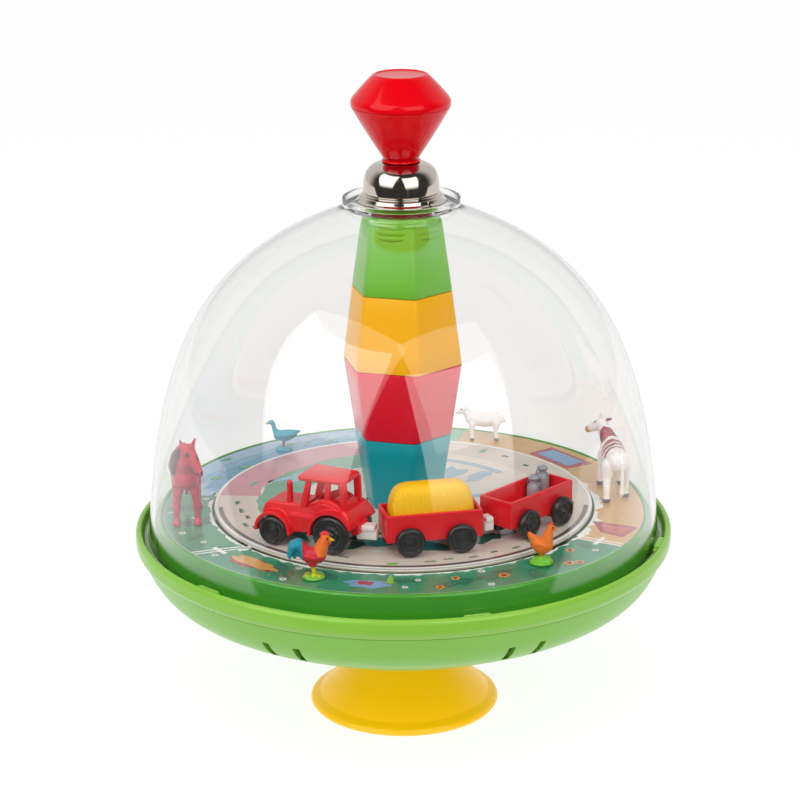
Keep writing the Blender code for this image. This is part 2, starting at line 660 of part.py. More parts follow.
def build_wagon(number, centre, heading):
    """Open box wagon with wheel arches, hung on two axles."""
    label = f"wagon_{number}"
    frame = place(*centre, 0, heading)
    height = WAGON_TOP_Z - WAGON_LOW_Z
    middle = (WAGON_TOP_Z + WAGON_LOW_Z) / 2
    axle_z = WHEEL_CONTACT_Z + SMALL_WHEEL_RADIUS
    body = joined(label, [box_mesh("tub", (WAGON_LENGTH, WAGON_WIDTH, height), (0, 0, middle), 0.5 * MM)],
                  red_plastic(), frame)
    room = WAGON_TOP_Z - WAGON_FLOOR_Z + WAGON_WALL
    inside = box_mesh("inside", (WAGON_LENGTH - 2 * WAGON_WALL, WAGON_WIDTH - 2 * WAGON_WALL, room),
                      (0, 0, WAGON_FLOOR_Z + room / 2))
    combine(body, [inside], "DIFFERENCE")
    blocks = []
    bores = []
    for end in (-1, 1):
        x = end * WAGON_AXLE_STEP / 2
        blocks.append(box_mesh("block", (4 * MM, WAGON_WIDTH - 3 * MM, 3 * MM), (x, 0, WAGON_LOW_Z - 0.5 * MM)))
        bores.append(arch_mesh(x, axle_z, AXLE_RADIUS + WAGON_BORE_GAP))
    combine(body, blocks, "UNION")
    combine(body, bores, "DIFFERENCE")
    smooth(body)
    for end, word in ((-1, "front"), (1, "rear")):
        spot = frame @ Vector((end * WAGON_AXLE_STEP / 2, 0, 0))
        build_axle_set(f"{label}_{word}", (spot.x, spot.y), heading, SMALL_WHEEL_RADIUS, WAGON_WHEEL_WIDTH,
                       WAGON_TRACK)
    return frame


def build_train():
    """Two wagons behind the tractor, their couplings and their loads."""
    first = build_wagon(1, *WAGONS[0])
    second = build_wagon(2, *WAGONS[1])
    hay = joined("hay_load", [rounded_box("hay", HAY_BOX)], material("hay_yellow", (0.95, 0.5, 0.0), 0.6), first)
    smooth(hay)
    for index, (x, y, height) in enumerate(CHURNS):
        outline = mm_points((0, 0.3), (2.3, 0.3), (2.3, height - 4.2), (1.4, height - 2.6), (1.4, height - 1.4),
                            (1.9, height - 1.2), (1.9, height - 0.4), (0, height))
        churn = turned(f"milk_churn_{index + 1}", outline, material("churn_grey", (0.2, 0.2, 0.22), 0.4), 12)
        churn.matrix_world = second @ Matrix.Translation((x * MM, y * MM, WAGON_FLOOR_Z))
    rear = place(*TRACTOR_REAR_XY, 0, TRACTOR_HEADING) @ Vector((-5.4 * MM, 0, 0))
    half = WAGON_LENGTH / 2 + COUPLING_WIDTH / 2.5
    ends = [(rear, first @ Vector((-half, 0, 0))),
            (first @ Vector((half, 0, 0)), second @ Vector((-half, 0, 0)))]
    for index, (start, end) in enumerate(ends):
        along = end - start
        heading = math.atan2(along.y, along.x)
        mesh = box_mesh("coupling", (along.length - GAP, COUPLING_WIDTH, COUPLING_HEIGHT), (0, 0, COUPLING_Z),
                        0.5 * MM)
        centre = (start + end) / 2
        add_mesh_object(f"coupling_{index + 1}", mesh, nylon(), place(centre.x, centre.y, 0, heading))


# ---------------------------------------------------------------- animals
def animal(name, x, y, heading, colour, meshes):
    """Join an animal's masses in its own frame, standing on the print."""
    look = material(name + "_paint", colour, 0.45)
    return joined(name, meshes, look, place(x * MM, y * MM, PRINT_Z + GAP, math.radians(heading)))


def four_legs(front_x, rear_x, half_width, top, radius):
    """Four straight legs under a body."""
    legs = []
    for x in (front_x, rear_x):
        for side in (-1, 1):
            start = scaled((x, side * half_width, 0))
            end = scaled((x, side * half_width * 0.8, top))
            legs.append(limb_mesh("leg", start, end, radius * MM, radius * 1.35 * MM))
    return legs


def build_horse():
    """Standing horse with raised head and long tail."""
    body = ball_mesh("body", scaled((10.6, 4.6, 5.4)), scaled((0, 0, 16.4)))
    neck = limb_mesh("neck", scaled((6.4, 0, 17.0)), scaled((11.0, 0, 26.4)), 4.0 * MM, 2.4 * MM)
    head = ball_mesh("head", scaled((5.0, 2.3, 2.5)), scaled((12.8, -0.6, 26.4)), math.radians(35), 4)
    ears = [limb_mesh("ear", scaled((10.6, s * 1.3, 27.6)), scaled((10.2, s * 1.7, 31.4)), 0.9 * MM, 0.3 * MM, 6)
            for s in (-1, 1)]
    tail = limb_mesh("tail", scaled((-9.0, 0, 18.6)), scaled((-11.6, 0, 6.0)), 1.5 * MM, 1.0 * MM, 6)
    legs = four_legs(7.0, -8.0, 3.2, 15.0, 1.4)
    animal("horse", -75.6, -13.0, -84, (0.5, 0.04, 0.08), [body, neck, head, tail] + ears + legs)


def build_cow():
    """Standing cow seen from behind, head turned to its left."""
    body = ball_mesh("body", scaled((10.8, 4.5, 5.0)), scaled((0, 0, 14.0)))
    neck = limb_mesh("neck", scaled((8.0, 0.6, 15.4)), scaled((11.4, 3.6, 20.0)), 3.4 * MM, 2.4 * MM)
    head = ball_mesh("head", scaled((2.3, 4.4, 2.5)), scaled((11.6, 5.6, 20.4)), 0.0, 4)
    ears = [limb_mesh("ear", scaled((12.0, 3.4, 21.4)), scaled((12.4 + 0.4 * s, 2.2 - 1.6 * s, 23.6)),
                      1.0 * MM, 0.4 * MM, 6) for s in (-1, 1)]
    tail = limb_mesh("tail", scaled((-10.0, 0, 16.8)), scaled((-11.6, -0.4, 4.0)), 0.9 * MM, 1.1 * MM, 6)
    legs = four_legs(8.6, -8.2, 3.0, 13.0, 1.4)
    animal("cow", 75.6, 10.0, 90, (0.8, 0.75, 0.73), [body, neck, head, tail] + ears + legs)


def build_sheep():
    """Small white sheep behind the column."""
    body = ball_mesh("body", scaled((6.6, 3.2, 3.5)), scaled((0, 0, 8.0)))
    neck = limb_mesh("neck", scaled((4.8, 0, 8.8)), scaled((7.4, 0, 10.8)), 2.3 * MM, 1.6 * MM)
    head = ball_mesh("head", scaled((2.7, 1.5, 1.5)), scaled((8.4, 0, 11.0)), math.radians(20), 4)
    ears = [limb_mesh("ear", scaled((7.2, s * 0.9, 11.8)), scaled((6.8, s * 2.5, 12.1)), 0.7 * MM, 0.4 * MM)
            for s in (-1, 1)]
    legs = four_legs(4.2, -4.8, 2.0, 7.4, 0.9)
    animal("sheep", 31.0, 70.2, 180, (0.85, 0.84, 0.8), [body, neck, head] + ears + legs)


def build_duck():
    """Teal duck on a small base."""
    base = rod_mesh("base", 3.3 * MM, 0.9 * MM, 12, centre=scaled((0, 0, 0.45)))
    legs = [limb_mesh("leg", scaled((0.2, s, 0.4)), scaled((0.2, s, 4.0)), 0.6 * MM, 0.6 * MM, 6) for s in (-1, 1)]
    body = ball_mesh("body", scaled((4.4, 2.5, 2.3)), scaled((-0.6, 0, 5.2)), math.radians(-8))
    neck = limb_mesh("neck", scaled((2.6, 0, 5.6)), scaled((3.4, 0, 9.4)), 1.5 * MM, 1.1 * MM)
    head = ball_mesh("head", scaled((1.7, 1.4, 1.4)), scaled((3.8, 0, 9.8)), 0.0, 4)
    beak = limb_mesh("beak", scaled((4.8, 0, 9.6)), scaled((6.6, 0, 9.4)), 0.8 * MM, 0.5 * MM, 6)
    tail = limb_mesh("tail", scaled((-3.6, 0, 5.4)), scaled((-6.0, 0, 6.2)), 1.5 * MM, 0.5 * MM, 6)
    animal("duck", -45.2, 59.2, 180, (0.0, 0.27, 0.32), [body, base, neck, head, beak, tail] + legs)


def fowl_meshes(height, length, tail_rise):
    """Masses of a standing fowl that faces its own +X."""
    base = rod_mesh("base", 3.6 * MM, 1.0 * MM, 12, centre=scaled((0, 0, 0.5)))
    leg = limb_mesh("leg", scaled((0, 0, 0.6)), scaled((0, 0, height * 0.36)), 1.1 * MM, 1.1 * MM, 6)
    body = ball_mesh("body", scaled((length * 0.3, 2.7, height * 0.19)), scaled((0, 0, height * 0.45)),
                     math.radians(-20))
    neck = limb_mesh("neck", scaled((length * 0.16, 0, height * 0.5)), scaled((length * 0.3, 0, height * 0.84)),
                     2.1 * MM, 1.2 * MM)
    head = ball_mesh("head", scaled((1.6, 1.2, 1.4)), scaled((length * 0.32, 0, height * 0.86)), 0.0, 4)
    comb = ball_mesh("comb", scaled((1.5, 0.5, 1.2)), scaled((length * 0.3, 0, height * 0.95)), 0.0, 4)
    beak = limb_mesh("beak", scaled((length * 0.4, 0, height * 0.85)), scaled((length * 0.5, 0, height * 0.83)),
                     0.6 * MM, 0.2 * MM, 6)
    tail = ball_mesh("tail", scaled((2.9, 1.3, 3.0)), scaled((-length * 0.34, 0, height * tail_rise)), 0.0, 4)
    return [body, base, leg, neck, head, comb, beak, tail]


def build_animals():
    """Six farm animals fixed on the printed ring."""
    build_horse()
    build_cow()
    build_sheep()
    build_duck()
    animal("rooster", -29.6, -71.0, 0, (0.6, 0.05, 0.08), fowl_meshes(16.0, 13.0, 0.56))
    animal("hen", 45.6, -59.4, 0, (0.7, 0.2, 0.03), fowl_meshes(14.0, 9.0, 0.55))


def main():
    """Build every part of the top."""
    global part_collection, cutter_collection
    clear_scene()
    part_collection = new_collection("spinning_top")
    cutter_collection = new_collection("cutters")
    build_foot()
    build_bowl()
    build_rim()
    build_dome()
    build_cap()
    build_tray()
    build_column()
    build_ratchet()
    build_pump()
    build_drive_nut()
    build_turntable()
    build_tractor()
    build_train()
    build_animals()


main()
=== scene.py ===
"""Looks of the farm spinning top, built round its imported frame.

Lengths in the tables are in millimetres and metres are used in the meshes. +Z is up, the front
is -Y, and an azimuth is counted in degrees from the front, positive to the right.
"""
import math

import bmesh
import bpy
from bpy.props import FloatProperty, FloatVectorProperty, IntProperty, PointerProperty
from mathutils import Matrix, Vector, noise


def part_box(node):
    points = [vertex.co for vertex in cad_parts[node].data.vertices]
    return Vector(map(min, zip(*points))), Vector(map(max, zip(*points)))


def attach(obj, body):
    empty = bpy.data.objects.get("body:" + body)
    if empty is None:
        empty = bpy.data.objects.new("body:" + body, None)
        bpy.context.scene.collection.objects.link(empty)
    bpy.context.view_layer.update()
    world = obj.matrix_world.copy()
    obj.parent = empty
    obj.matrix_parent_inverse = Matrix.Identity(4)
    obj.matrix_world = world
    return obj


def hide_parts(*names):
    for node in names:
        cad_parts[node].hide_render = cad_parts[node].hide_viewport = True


bl_info = {
    "name": "Farm spinning top",
    "version": (1, 0, 0),
    "blender": (4, 5, 0),
    "location": "3D View > Sidebar > Spinning top",
    "description": "Builds the visible pieces of a pump spinning top round its packed frame",
    "category": "Object",
}

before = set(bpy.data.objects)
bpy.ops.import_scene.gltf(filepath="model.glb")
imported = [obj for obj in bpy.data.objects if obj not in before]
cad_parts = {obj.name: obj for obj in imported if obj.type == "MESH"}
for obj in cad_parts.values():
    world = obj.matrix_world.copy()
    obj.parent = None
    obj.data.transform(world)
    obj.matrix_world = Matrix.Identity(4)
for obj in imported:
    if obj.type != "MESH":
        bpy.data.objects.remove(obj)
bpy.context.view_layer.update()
MM = 0.001


def srgb(red, green, blue):
    """Linear colour of a screen colour given in 0 to 255."""
    shares = [value / 255 for value in (red, green, blue)]
    return tuple(s / 12.92 if s <= 0.04045 else ((s + 0.055) / 1.055) ** 2.4 for s in shares)


def colour_property(name, description, default):
    """Colour setting for a property group."""
    return FloatVectorProperty(name=name, description=description, default=default, size=3,
                               min=0.0, max=1.0, subtype="COLOR")


def length_property(name, description, default):
    """Length setting in metres for a property group."""
    return FloatProperty(name=name, description=description, default=default, min=0.0,
                         subtype="DISTANCE", unit="LENGTH")


# ---------------------------------------------------------------- settings
class TopShellSettings(bpy.types.PropertyGroup):
    """Sizes and colours of the turned shells, the column and the knob."""
    steps: IntProperty(name="Turning steps", description="Segments round the large shells",
                       default=192, min=24, max=512)
    corner: length_property("Corner radius", "Rounding of the moulded corners", 0.35 * MM)
    foot: colour_property("Foot", "Vinyl of the suction foot", srgb(238, 178, 0))
    bowl: colour_property("Bowl", "Plastic of the bowl", srgb(128, 190, 66))
    rim: colour_property("Rim", "Plastic of the rim", srgb(134, 192, 62))
    tray: colour_property("Tray", "Plastic of the landscape tray", srgb(66, 156, 40))
    knob: colour_property("Knob", "Plastic of the push knob", srgb(220, 0, 18))
    dome: colour_property("Dome", "Tint of the clear dome", srgb(252, 251, 250))
    nickel: colour_property("Nickel", "Plating of the cap", srgb(205, 196, 186))
    teal: colour_property("Teal block", "Lowest block of the column", srgb(0, 160, 170))
    red: colour_property("Red block", "Second block of the column", srgb(226, 22, 48))
    yellow: colour_property("Yellow block", "Third block of the column", srgb(255, 184, 0))
    green: colour_property("Green block", "Top block of the column", srgb(112, 190, 48))
    slot_length: length_property("Slot height", "Height of a humming slot", 6.5 * MM)
    slot_width: length_property("Slot width", "Width of a humming slot", 2.6 * MM)


class TopPrintSettings(bpy.types.PropertyGroup):
    """Sizes and colours of the printed farmland."""
    layer: length_property("Ink layer", "Thickness of one printed layer", 0.05 * MM)
    field: colour_property("Field", "Green of the field", srgb(40, 140, 98))
    yard: colour_property("Yard", "Tan of the farmyard", srgb(216, 172, 104))
    pond: colour_property("Pond", "Blue of the pond", srgb(118, 172, 196))
    road: colour_property("Road", "Beige of the road", srgb(222, 211, 198))
    petals: IntProperty(name="Petals", description="Petals of a daisy", default=7, min=3, max=16)
    daisy_reach: length_property("Daisy reach", "Distance of a petal from its heart", 0.55 * MM)
    blades: IntProperty(name="Blades", description="Grass blades in a tuft", default=5, min=2, max=12)


class TopVehicleSettings(bpy.types.PropertyGroup):
    """Sizes and colours of the tractor, the wagons and their loads."""
    red: colour_property("Vehicle red", "Plastic of the tractor and wagons", srgb(226, 22, 34))
    black: colour_property("Black", "Plastic of the wheels and chassis", srgb(38, 35, 38))
    hay: colour_property("Hay", "Plastic of the hay bale", srgb(255, 200, 6))
    churn: colour_property("Churn", "Plastic of the milk churns", srgb(150, 155, 162))
    ribs: IntProperty(name="Hay ribs", description="Ribs along the hay bale", default=34, min=8, max=80)
    rib_depth: length_property("Rib depth", "Depth of a rib in the hay", 0.13 * MM)
    wheel_steps: IntProperty(name="Wheel steps", description="Segments round a wheel", default=64,
                             min=16, max=192)


class TopFigureSettings(bpy.types.PropertyGroup):
    """Finish of the animals."""
    cell: length_property("Cell", "Cell size of the figures' surface", 0.3 * MM)
    rounds: IntProperty(name="Smoothing", description="Rounds of smoothing of a figure", default=3,
                        min=0, max=10)


class TopStageSettings(bpy.types.PropertyGroup):
    """Floor, lamps and camera."""
    floor: colour_property("Floor", "Colour of the floor", srgb(252, 252, 252))
    lamp: FloatProperty(name="Lamp power", description="Power of each soft box", default=5.0, min=0.0,
                        subtype="POWER", unit="POWER")
    sky: FloatProperty(name="Fill", description="Strength of the even fill light", default=0.5, min=0.0)
    boxes: FloatProperty(name="Mirrored boxes", description="Brightness of the soft boxes in reflections",
                         default=2.0, min=0.0)
    lens: FloatProperty(name="Lens", description="Focal length of the camera", default=114.4, min=1.0,
                        subtype="DISTANCE_CAMERA", unit="CAMERA")
    stand: length_property("Stand", "Distance of the camera from the top's axis", 0.85)
    height: length_property("Camera height", "Height of the camera above the floor", 0.3863)
    aim: length_property("Aim height", "Height on the axis that the camera looks at", 0.11387)


# ---------------------------------------------------------------- node helpers
def put(tree, kind, inputs=None, **options):
    """Add a node, set its options, and fill or wire its inputs."""
    made = tree.nodes.new(kind)
    for key, value in options.items():
        setattr(made, key, value)
    for key, value in (inputs or {}).items():
        if isinstance(value, bpy.types.NodeSocket):
            tree.links.new(value, made.inputs[key])
        else:
            made.inputs[key].default_value = value
    return made


def new_tree(name, kind, inputs, outputs):
    """Node tree with named inputs and outputs, with its two end nodes."""
    tree = bpy.data.node_groups.new(name, kind)
    for label, socket, value in inputs:
        made = tree.interface.new_socket(label, in_out="INPUT", socket_type="NodeSocket" + socket)
        if value is not None:
            made.default_value = value
    for label, socket in outputs:
        tree.interface.new_socket(label, in_out="OUTPUT", socket_type="NodeSocket" + socket)
    return tree, tree.nodes.new("NodeGroupInput").outputs, tree.nodes.new("NodeGroupOutput").inputs


def sums(tree, operation, *values):
    """Output of a Math node."""
    made = tree.nodes.new("ShaderNodeMath")
    made.operation = operation
    for index, value in enumerate(values):
        if isinstance(value, bpy.types.NodeSocket):
            tree.links.new(value, made.inputs[index])
        else:
            made.inputs[index].default_value = value
    return made.outputs[0]


def blend_colours(tree, share, first, second, mode="MIX"):
    """Output of a colour Mix node."""
    made = tree.nodes.new("ShaderNodeMix")
    made.data_type = "RGBA"
    made.blend_type = mode
    for index, value in ((0, share), (6, first), (7, second)):
        if isinstance(value, bpy.types.NodeSocket):
            tree.links.new(value, made.inputs[index])
        else:
            made.inputs[index].default_value = value
    return made.outputs[2]


def mottle(tree, coordinates, scale, detail=2.0, low=0.35, high=0.65):
    """Noise stretched to the full range between two levels."""
    grain = put(tree, "ShaderNodeTexNoise", {"Vector": coordinates, "Scale": scale, "Detail": detail})
    ramp = put(tree, "ShaderNodeMapRange", {"Value": grain.outputs["Fac"], "From Min": low, "From Max": high})
    return ramp.outputs["Result"]


# ---------------------------------------------------------------- shader groups
def moulded_skin():
    """Skin of moulded plastic: slight tone drift, handling scuffs and a fine grain."""
    found = bpy.data.node_groups.get("moulded_skin")
    if found:
        return found
    tree, given, result = new_tree("moulded_skin", "ShaderNodeTree", [
        ("Colour", "Color", (0.5, 0.5, 0.5, 1.0)), ("Drift", "Float", 0.12), ("Gloss", "Float", 0.3),
        ("Scuffs", "Float", 0.04), ("Grain", "Float", 2600.0)],
        [("Colour", "Color"), ("Roughness", "Float"), ("Height", "Float")])
    spot = put(tree, "ShaderNodeTexCoord").outputs["Object"]
    flow = mottle(tree, spot, 22.0, 2.0)
    deeper = blend_colours(tree, 1.0, given["Colour"], (0.72, 0.72, 0.72, 1.0), "MULTIPLY")
    share = sums(tree, "MULTIPLY", flow, given["Drift"])
    tree.links.new(blend_colours(tree, share, given["Colour"], deeper), result["Colour"])
    long_marks = put(tree, "ShaderNodeMapping", {"Vector": spot, "Scale": (900.0, 240.0, 120.0),
                                                 "Rotation": (0.4, 0.9, 0.3)}).outputs[0]
    marks = mottle(tree, long_marks, 1.0, 4.0, 0.56, 0.74)
    wiped = sums(tree, "MULTIPLY", mottle(tree, spot, 70.0, 3.0), 0.4)
    rough = sums(tree, "MULTIPLY", sums(tree, "ADD", marks, wiped), given["Scuffs"])
    tree.links.new(sums(tree, "ADD", given["Gloss"], rough), result["Roughness"])
    fine = put(tree, "ShaderNodeTexNoise", {"Vector": spot, "Scale": given["Grain"], "Detail": 3.0})
    tree.links.new(fine.outputs["Fac"], result["Height"])
    return tree


def printed_ink():
    """Ink on coated card: dry-brush streaks, a second tone and fine speckle."""
    found = bpy.data.node_groups.get("printed_ink")
    if found:
        return found
    tree, given, result = new_tree("printed_ink", "ShaderNodeTree", [
        ("Colour", "Color", (0.5, 0.5, 0.5, 1.0)), ("Second", "Color", (0.3, 0.3, 0.3, 1.0)),
        ("Brush", "Float", 0.3), ("Speckle", "Float", 0.15)],
        [("Colour", "Color"), ("Roughness", "Float")])
    spot = put(tree, "ShaderNodeTexCoord").outputs["Object"]
    broad = sums(tree, "MULTIPLY", mottle(tree, spot, 160.0, 4.0, 0.3, 0.75), given["Brush"])
    dots = sums(tree, "MULTIPLY", mottle(tree, spot, 1500.0, 3.0, 0.52, 0.72), given["Speckle"])
    washed = blend_colours(tree, broad, given["Colour"], given["Second"])
    tree.links.new(blend_colours(tree, dots, washed, (0.9, 0.9, 0.86, 1.0)), result["Colour"])
    tree.links.new(sums(tree, "ADD", 0.2, sums(tree, "MULTIPLY", dots, 0.4)), result["Roughness"])
    return tree


def hand_paint():
    """Hand-painted figure: pooled paint, brushed hair and a lumpy surface."""
    found = bpy.data.node_groups.get("hand_paint")
    if found:
        return found
    tree, given, result = new_tree("hand_paint", "ShaderNodeTree", [
        ("Colour", "Color", (0.5, 0.5, 0.5, 1.0)), ("Pooling", "Float", 0.35), ("Hair", "Float", 1400.0)],
        [("Colour", "Color"), ("Roughness", "Float"), ("Height", "Float")])
    spot = put(tree, "ShaderNodeTexCoord").outputs["Object"]
    combed = put(tree, "ShaderNodeMapping", {"Vector": spot, "Scale": (1.0, 1.0, 0.35)}).outputs[0]
    hair = mottle(tree, combed, given["Hair"], 3.0, 0.3, 0.7)
    pools = mottle(tree, spot, 420.0, 2.0)
    dark = blend_colours(tree, 1.0, given["Colour"], (0.5, 0.42, 0.45, 1.0), "MULTIPLY")
    share = sums(tree, "MULTIPLY", sums(tree, "MULTIPLY", pools, hair), given["Pooling"])
    tree.links.new(blend_colours(tree, share, given["Colour"], dark), result["Colour"])
    tree.links.new(sums(tree, "ADD", 0.3, sums(tree, "MULTIPLY", pools, 0.15)), result["Roughness"])
    tree.links.new(hair, result["Height"])
    return tree


# ---------------------------------------------------------------- materials
def blank(name):
    """New material with its tree and its shader node, or the one already made."""
    made = bpy.data.materials.new(name)
    made.use_nodes = True
    return made, made.node_tree, made.node_tree.nodes["Principled BSDF"]


def with_skin(name, group, values, bump=0.0, bump_size=0.1 * MM, **plain):
    """Material whose colour, roughness and bump come from one shader group."""
    found = bpy.data.materials.get(name)
    if found:
        return found
    made, tree, shader = blank(name)
    skin = put(tree, "ShaderNodeGroup", node_tree=group)
    for key, value in values.items():
        if isinstance(value, bpy.types.NodeSocket):
            tree.links.new(value, skin.inputs[key])
        else:
            skin.inputs[key].default_value = (*value, 1.0) if isinstance(value, tuple) else value
    tree.links.new(skin.outputs["Colour"], shader.inputs["Base Color"])
    tree.links.new(skin.outputs["Roughness"], shader.inputs["Roughness"])
    if bump:
        lift = put(tree, "ShaderNodeBump", {"Strength": bump, "Distance": bump_size,
                                            "Height": skin.outputs["Height"]})
        tree.links.new(lift.outputs["Normal"], shader.inputs["Normal"])
    for key, value in plain.items():
        shader.inputs[key.replace("_", " ").title().replace("Ior", "IOR")].default_value = value
    return made


def plastic(name, colour, gloss=0.26, drift=0.12, bump=0.03, **plain):
    """Moulded plastic in one colour."""
    values = {"Colour": tuple(colour), "Drift": drift, "Gloss": gloss, "Scuffs": 0.015}
    return with_skin(name, moulded_skin(), values, bump, **plain)


def ink(name, colour, second=None, brush=0.3, speckle=0.12):
    """Printed ink under a gloss coat."""
    second = second or tuple(value * 0.6 for value in colour)
    values = {"Colour": tuple(colour), "Second": tuple(second), "Brush": brush, "Speckle": speckle}
    return with_skin("ink_" + name, printed_ink(), values, coat_weight=0.25, coat_roughness=0.12)


def figure_paint(name):
    """Hand paint that reads a figure's own Tint attribute."""
    found = bpy.data.materials.get(name)
    if found:
        return found
    made, tree, shader = blank(name)
    tint = put(tree, "ShaderNodeAttribute", attribute_name="Tint")
    skin = put(tree, "ShaderNodeGroup", {}, node_tree=hand_paint())
    tree.links.new(tint.outputs["Color"], skin.inputs["Colour"])
    tree.links.new(skin.outputs["Colour"], shader.inputs["Base Color"])
    tree.links.new(skin.outputs["Roughness"], shader.inputs["Roughness"])
    lift = put(tree, "ShaderNodeBump", {"Strength": 0.35, "Distance": 0.12 * MM,
                                        "Height": skin.outputs["Height"]})
    tree.links.new(lift.outputs["Normal"], shader.inputs["Normal"])
    return made


def clear_styrene(colour):
    """Clear moulded dome that lets light in through its wall."""
    made, tree, shader = blank("clear_styrene")
    skin = put(tree, "ShaderNodeGroup", node_tree=moulded_skin())
    skin.inputs["Colour"].default_value = (*colour, 1.0)
    skin.inputs["Drift"].default_value = 0.03
    skin.inputs["Gloss"].default_value = 0.0
    skin.inputs["Scuffs"].default_value = 0.02
    tree.links.new(skin.outputs["Colour"], shader.inputs["Base Color"])
    tree.links.new(skin.outputs["Roughness"], shader.inputs["Roughness"])
    shader.inputs["Transmission Weight"].default_value = 1.0
    shader.inputs["IOR"].default_value = 1.52
    path = put(tree, "ShaderNodeLightPath")
    passing = sums(tree, "MAXIMUM", path.outputs["Is Shadow Ray"], path.outputs["Is Diffuse Ray"])
    veil = put(tree, "ShaderNodeBsdfTransparent", {"Color": (0.985, 0.985, 0.985, 1.0)})
    mixed = put(tree, "ShaderNodeMixShader", {0: passing, 1: shader.outputs["BSDF"], 2: veil.outputs[0]})
    tree.links.new(mixed.outputs[0], tree.nodes["Material Output"].inputs["Surface"])
    return made


def nickel_plate(colour):
    """Bright nickel plating with faint polishing marks."""
    values = {"Colour": tuple(colour), "Drift": 0.2, "Gloss": 0.07, "Scuffs": 0.1}
    return with_skin("nickel_plating", moulded_skin(), values, 0.02, metallic=1.0)


def bare_steel():
    """Drawn steel wire and sheet."""
    values = {"Colour": srgb(178, 180, 184), "Drift": 0.3, "Gloss": 0.2, "Scuffs": 0.25}
    return with_skin("drawn_steel", moulded_skin(), values, 0.05, metallic=1.0)


def white_nylon():
    """White nylon of the couplings and bushes."""
    return plastic("nylon_white", srgb(238, 238, 234), 0.38)


# ---------------------------------------------------------------- mesh helpers
def show(name, mesh, *looks):
    """Link mesh data as an object with its materials."""
    made = bpy.data.objects.new(name, mesh)
    bpy.context.scene.collection.objects.link(made)
    for look in looks:
        mesh.materials.append(look)
    return made


def settle(work, name, matrix=None, recalculate=True):
    """Turn a bmesh into mesh data in its final place."""
    if recalculate:
        bmesh.ops.recalc_face_normals(work, faces=work.faces)
    if matrix is not None:
        bmesh.ops.transform(work, matrix=matrix, verts=work.verts)
    mesh = bpy.data.meshes.new(name)
    work.to_mesh(mesh)
    work.free()
    return mesh


def smooth(mesh, angle=32):
    """Shade round faces smooth and keep the edges crisp."""
    mesh.shade_smooth()
    mesh.set_sharp_from_angle(angle=math.radians(angle))


def fit(piece, body, nodes=()):
    """Hang a finished piece on its body and hide the frame parts that it stands for."""
    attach(piece, body)
    if nodes:
        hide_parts(*nodes)
    return piece


def middle(node):
    """Centre of a frame node's box."""
    low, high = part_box(node)
    return (low + high) / 2


def curve_points(start, handle_a, handle_b, end, count):
    """Points on a cubic curve through an outline."""
    points = []
    for step in range(count + 1):
        t = step / count
        weights = ((1 - t) ** 3, 3 * (1 - t) ** 2 * t, 3 * (1 - t) * t ** 2, t ** 3)
        points.append(tuple(sum(w * c[axis] for w, c in zip(weights, (start, handle_a, handle_b, end)))
                            for axis in (0, 1)))
    return points


def inset(points, distance):
    """Shift an open outline sideways by a wall's thickness."""
    shifted = []
    for index, (r, z) in enumerate(points):
        before = Vector(points[max(index - 1, 0)])
        after = Vector(points[min(index + 1, len(points) - 1)])
        along = (after - before).normalized()
        shifted.append((r - along.y * distance, z + along.x * distance))
    return shifted


def softened(outline, radius, steps=4, least=22):
    """Round the sharp corners of a closed outline."""
    points = []
    count = len(outline)
    for index, corner in enumerate(outline):
        here = Vector(corner)
        back = Vector(outline[index - 1]) - here
        ahead = Vector(outline[(index + 1) % count]) - here
        if here.x < 1e-6 or math.pi - back.angle(ahead) < math.radians(least):
            points.append(tuple(here))
            continue
        reach = min(radius, back.length * 0.45, ahead.length * 0.45)
        start = here + back.normalized() * reach
        end = here + ahead.normalized() * reach
        for step in range(steps + 1):
            t = step / steps
            points.append(tuple(start * (1 - t) ** 2 + here * 2 * t * (1 - t) + end * t ** 2))
    return points


def turned_work(outline, steps):
    """Closed outline of (radius, height) spun about Z, as a bmesh."""
    work = bmesh.new()
    rings = []
    for radius, height in outline:
        around = 1 if radius < 1e-6 else steps
        rings.append([work.verts.new((radius * MM * math.cos(math.tau * s / steps),
                                      radius * MM * math.sin(math.tau * s / steps), height * MM))
                      for s in range(around)])
    for one, two in zip(rings, rings[1:] + rings[:1]):
        if len(one) == 1 and len(two) == 1:
            continue
        for step in range(steps):
            after = (step + 1) % steps
            corners = [one[step % len(one)], two[step % len(two)], two[after % len(two)],
                       one[after % len(one)]]
            work.faces.new(list(dict.fromkeys(corners)))
    return work


def join_rings(work, rings):
    """Skin between each ring of vertices and the next, all of one length."""
    for one, two in zip(rings, rings[1:]):
        for index in range(len(one)):
            after = (index + 1) % len(one)
            work.faces.new((one[index], one[after], two[after], two[index]))


def turned(name, outline, look, steps, radius=0.3, matrix=None):
    """Turned object with softened corners."""
    mesh = settle(turned_work(softened(outline, radius), steps), name, matrix)
    smooth(mesh)
    return show(name, mesh, look)


def block_work(size, centre=(0, 0, 0), bevel=0.4, segments=3):
    """Box with rounded edges, sizes in millimetres, as a bmesh."""
    work = bmesh.new()
    bmesh.ops.create_cube(work, size=1.0)
    bmesh.ops.scale(work, vec=[value * MM for value in size], verts=work.verts)
    if bevel:
        bmesh.ops.bevel(work, geom=work.edges[:], offset=bevel * MM, segments=segments, profile=0.5,
                        affect="EDGES")
    bmesh.ops.translate(work, vec=[value * MM for value in centre], verts=work.verts)
    return work


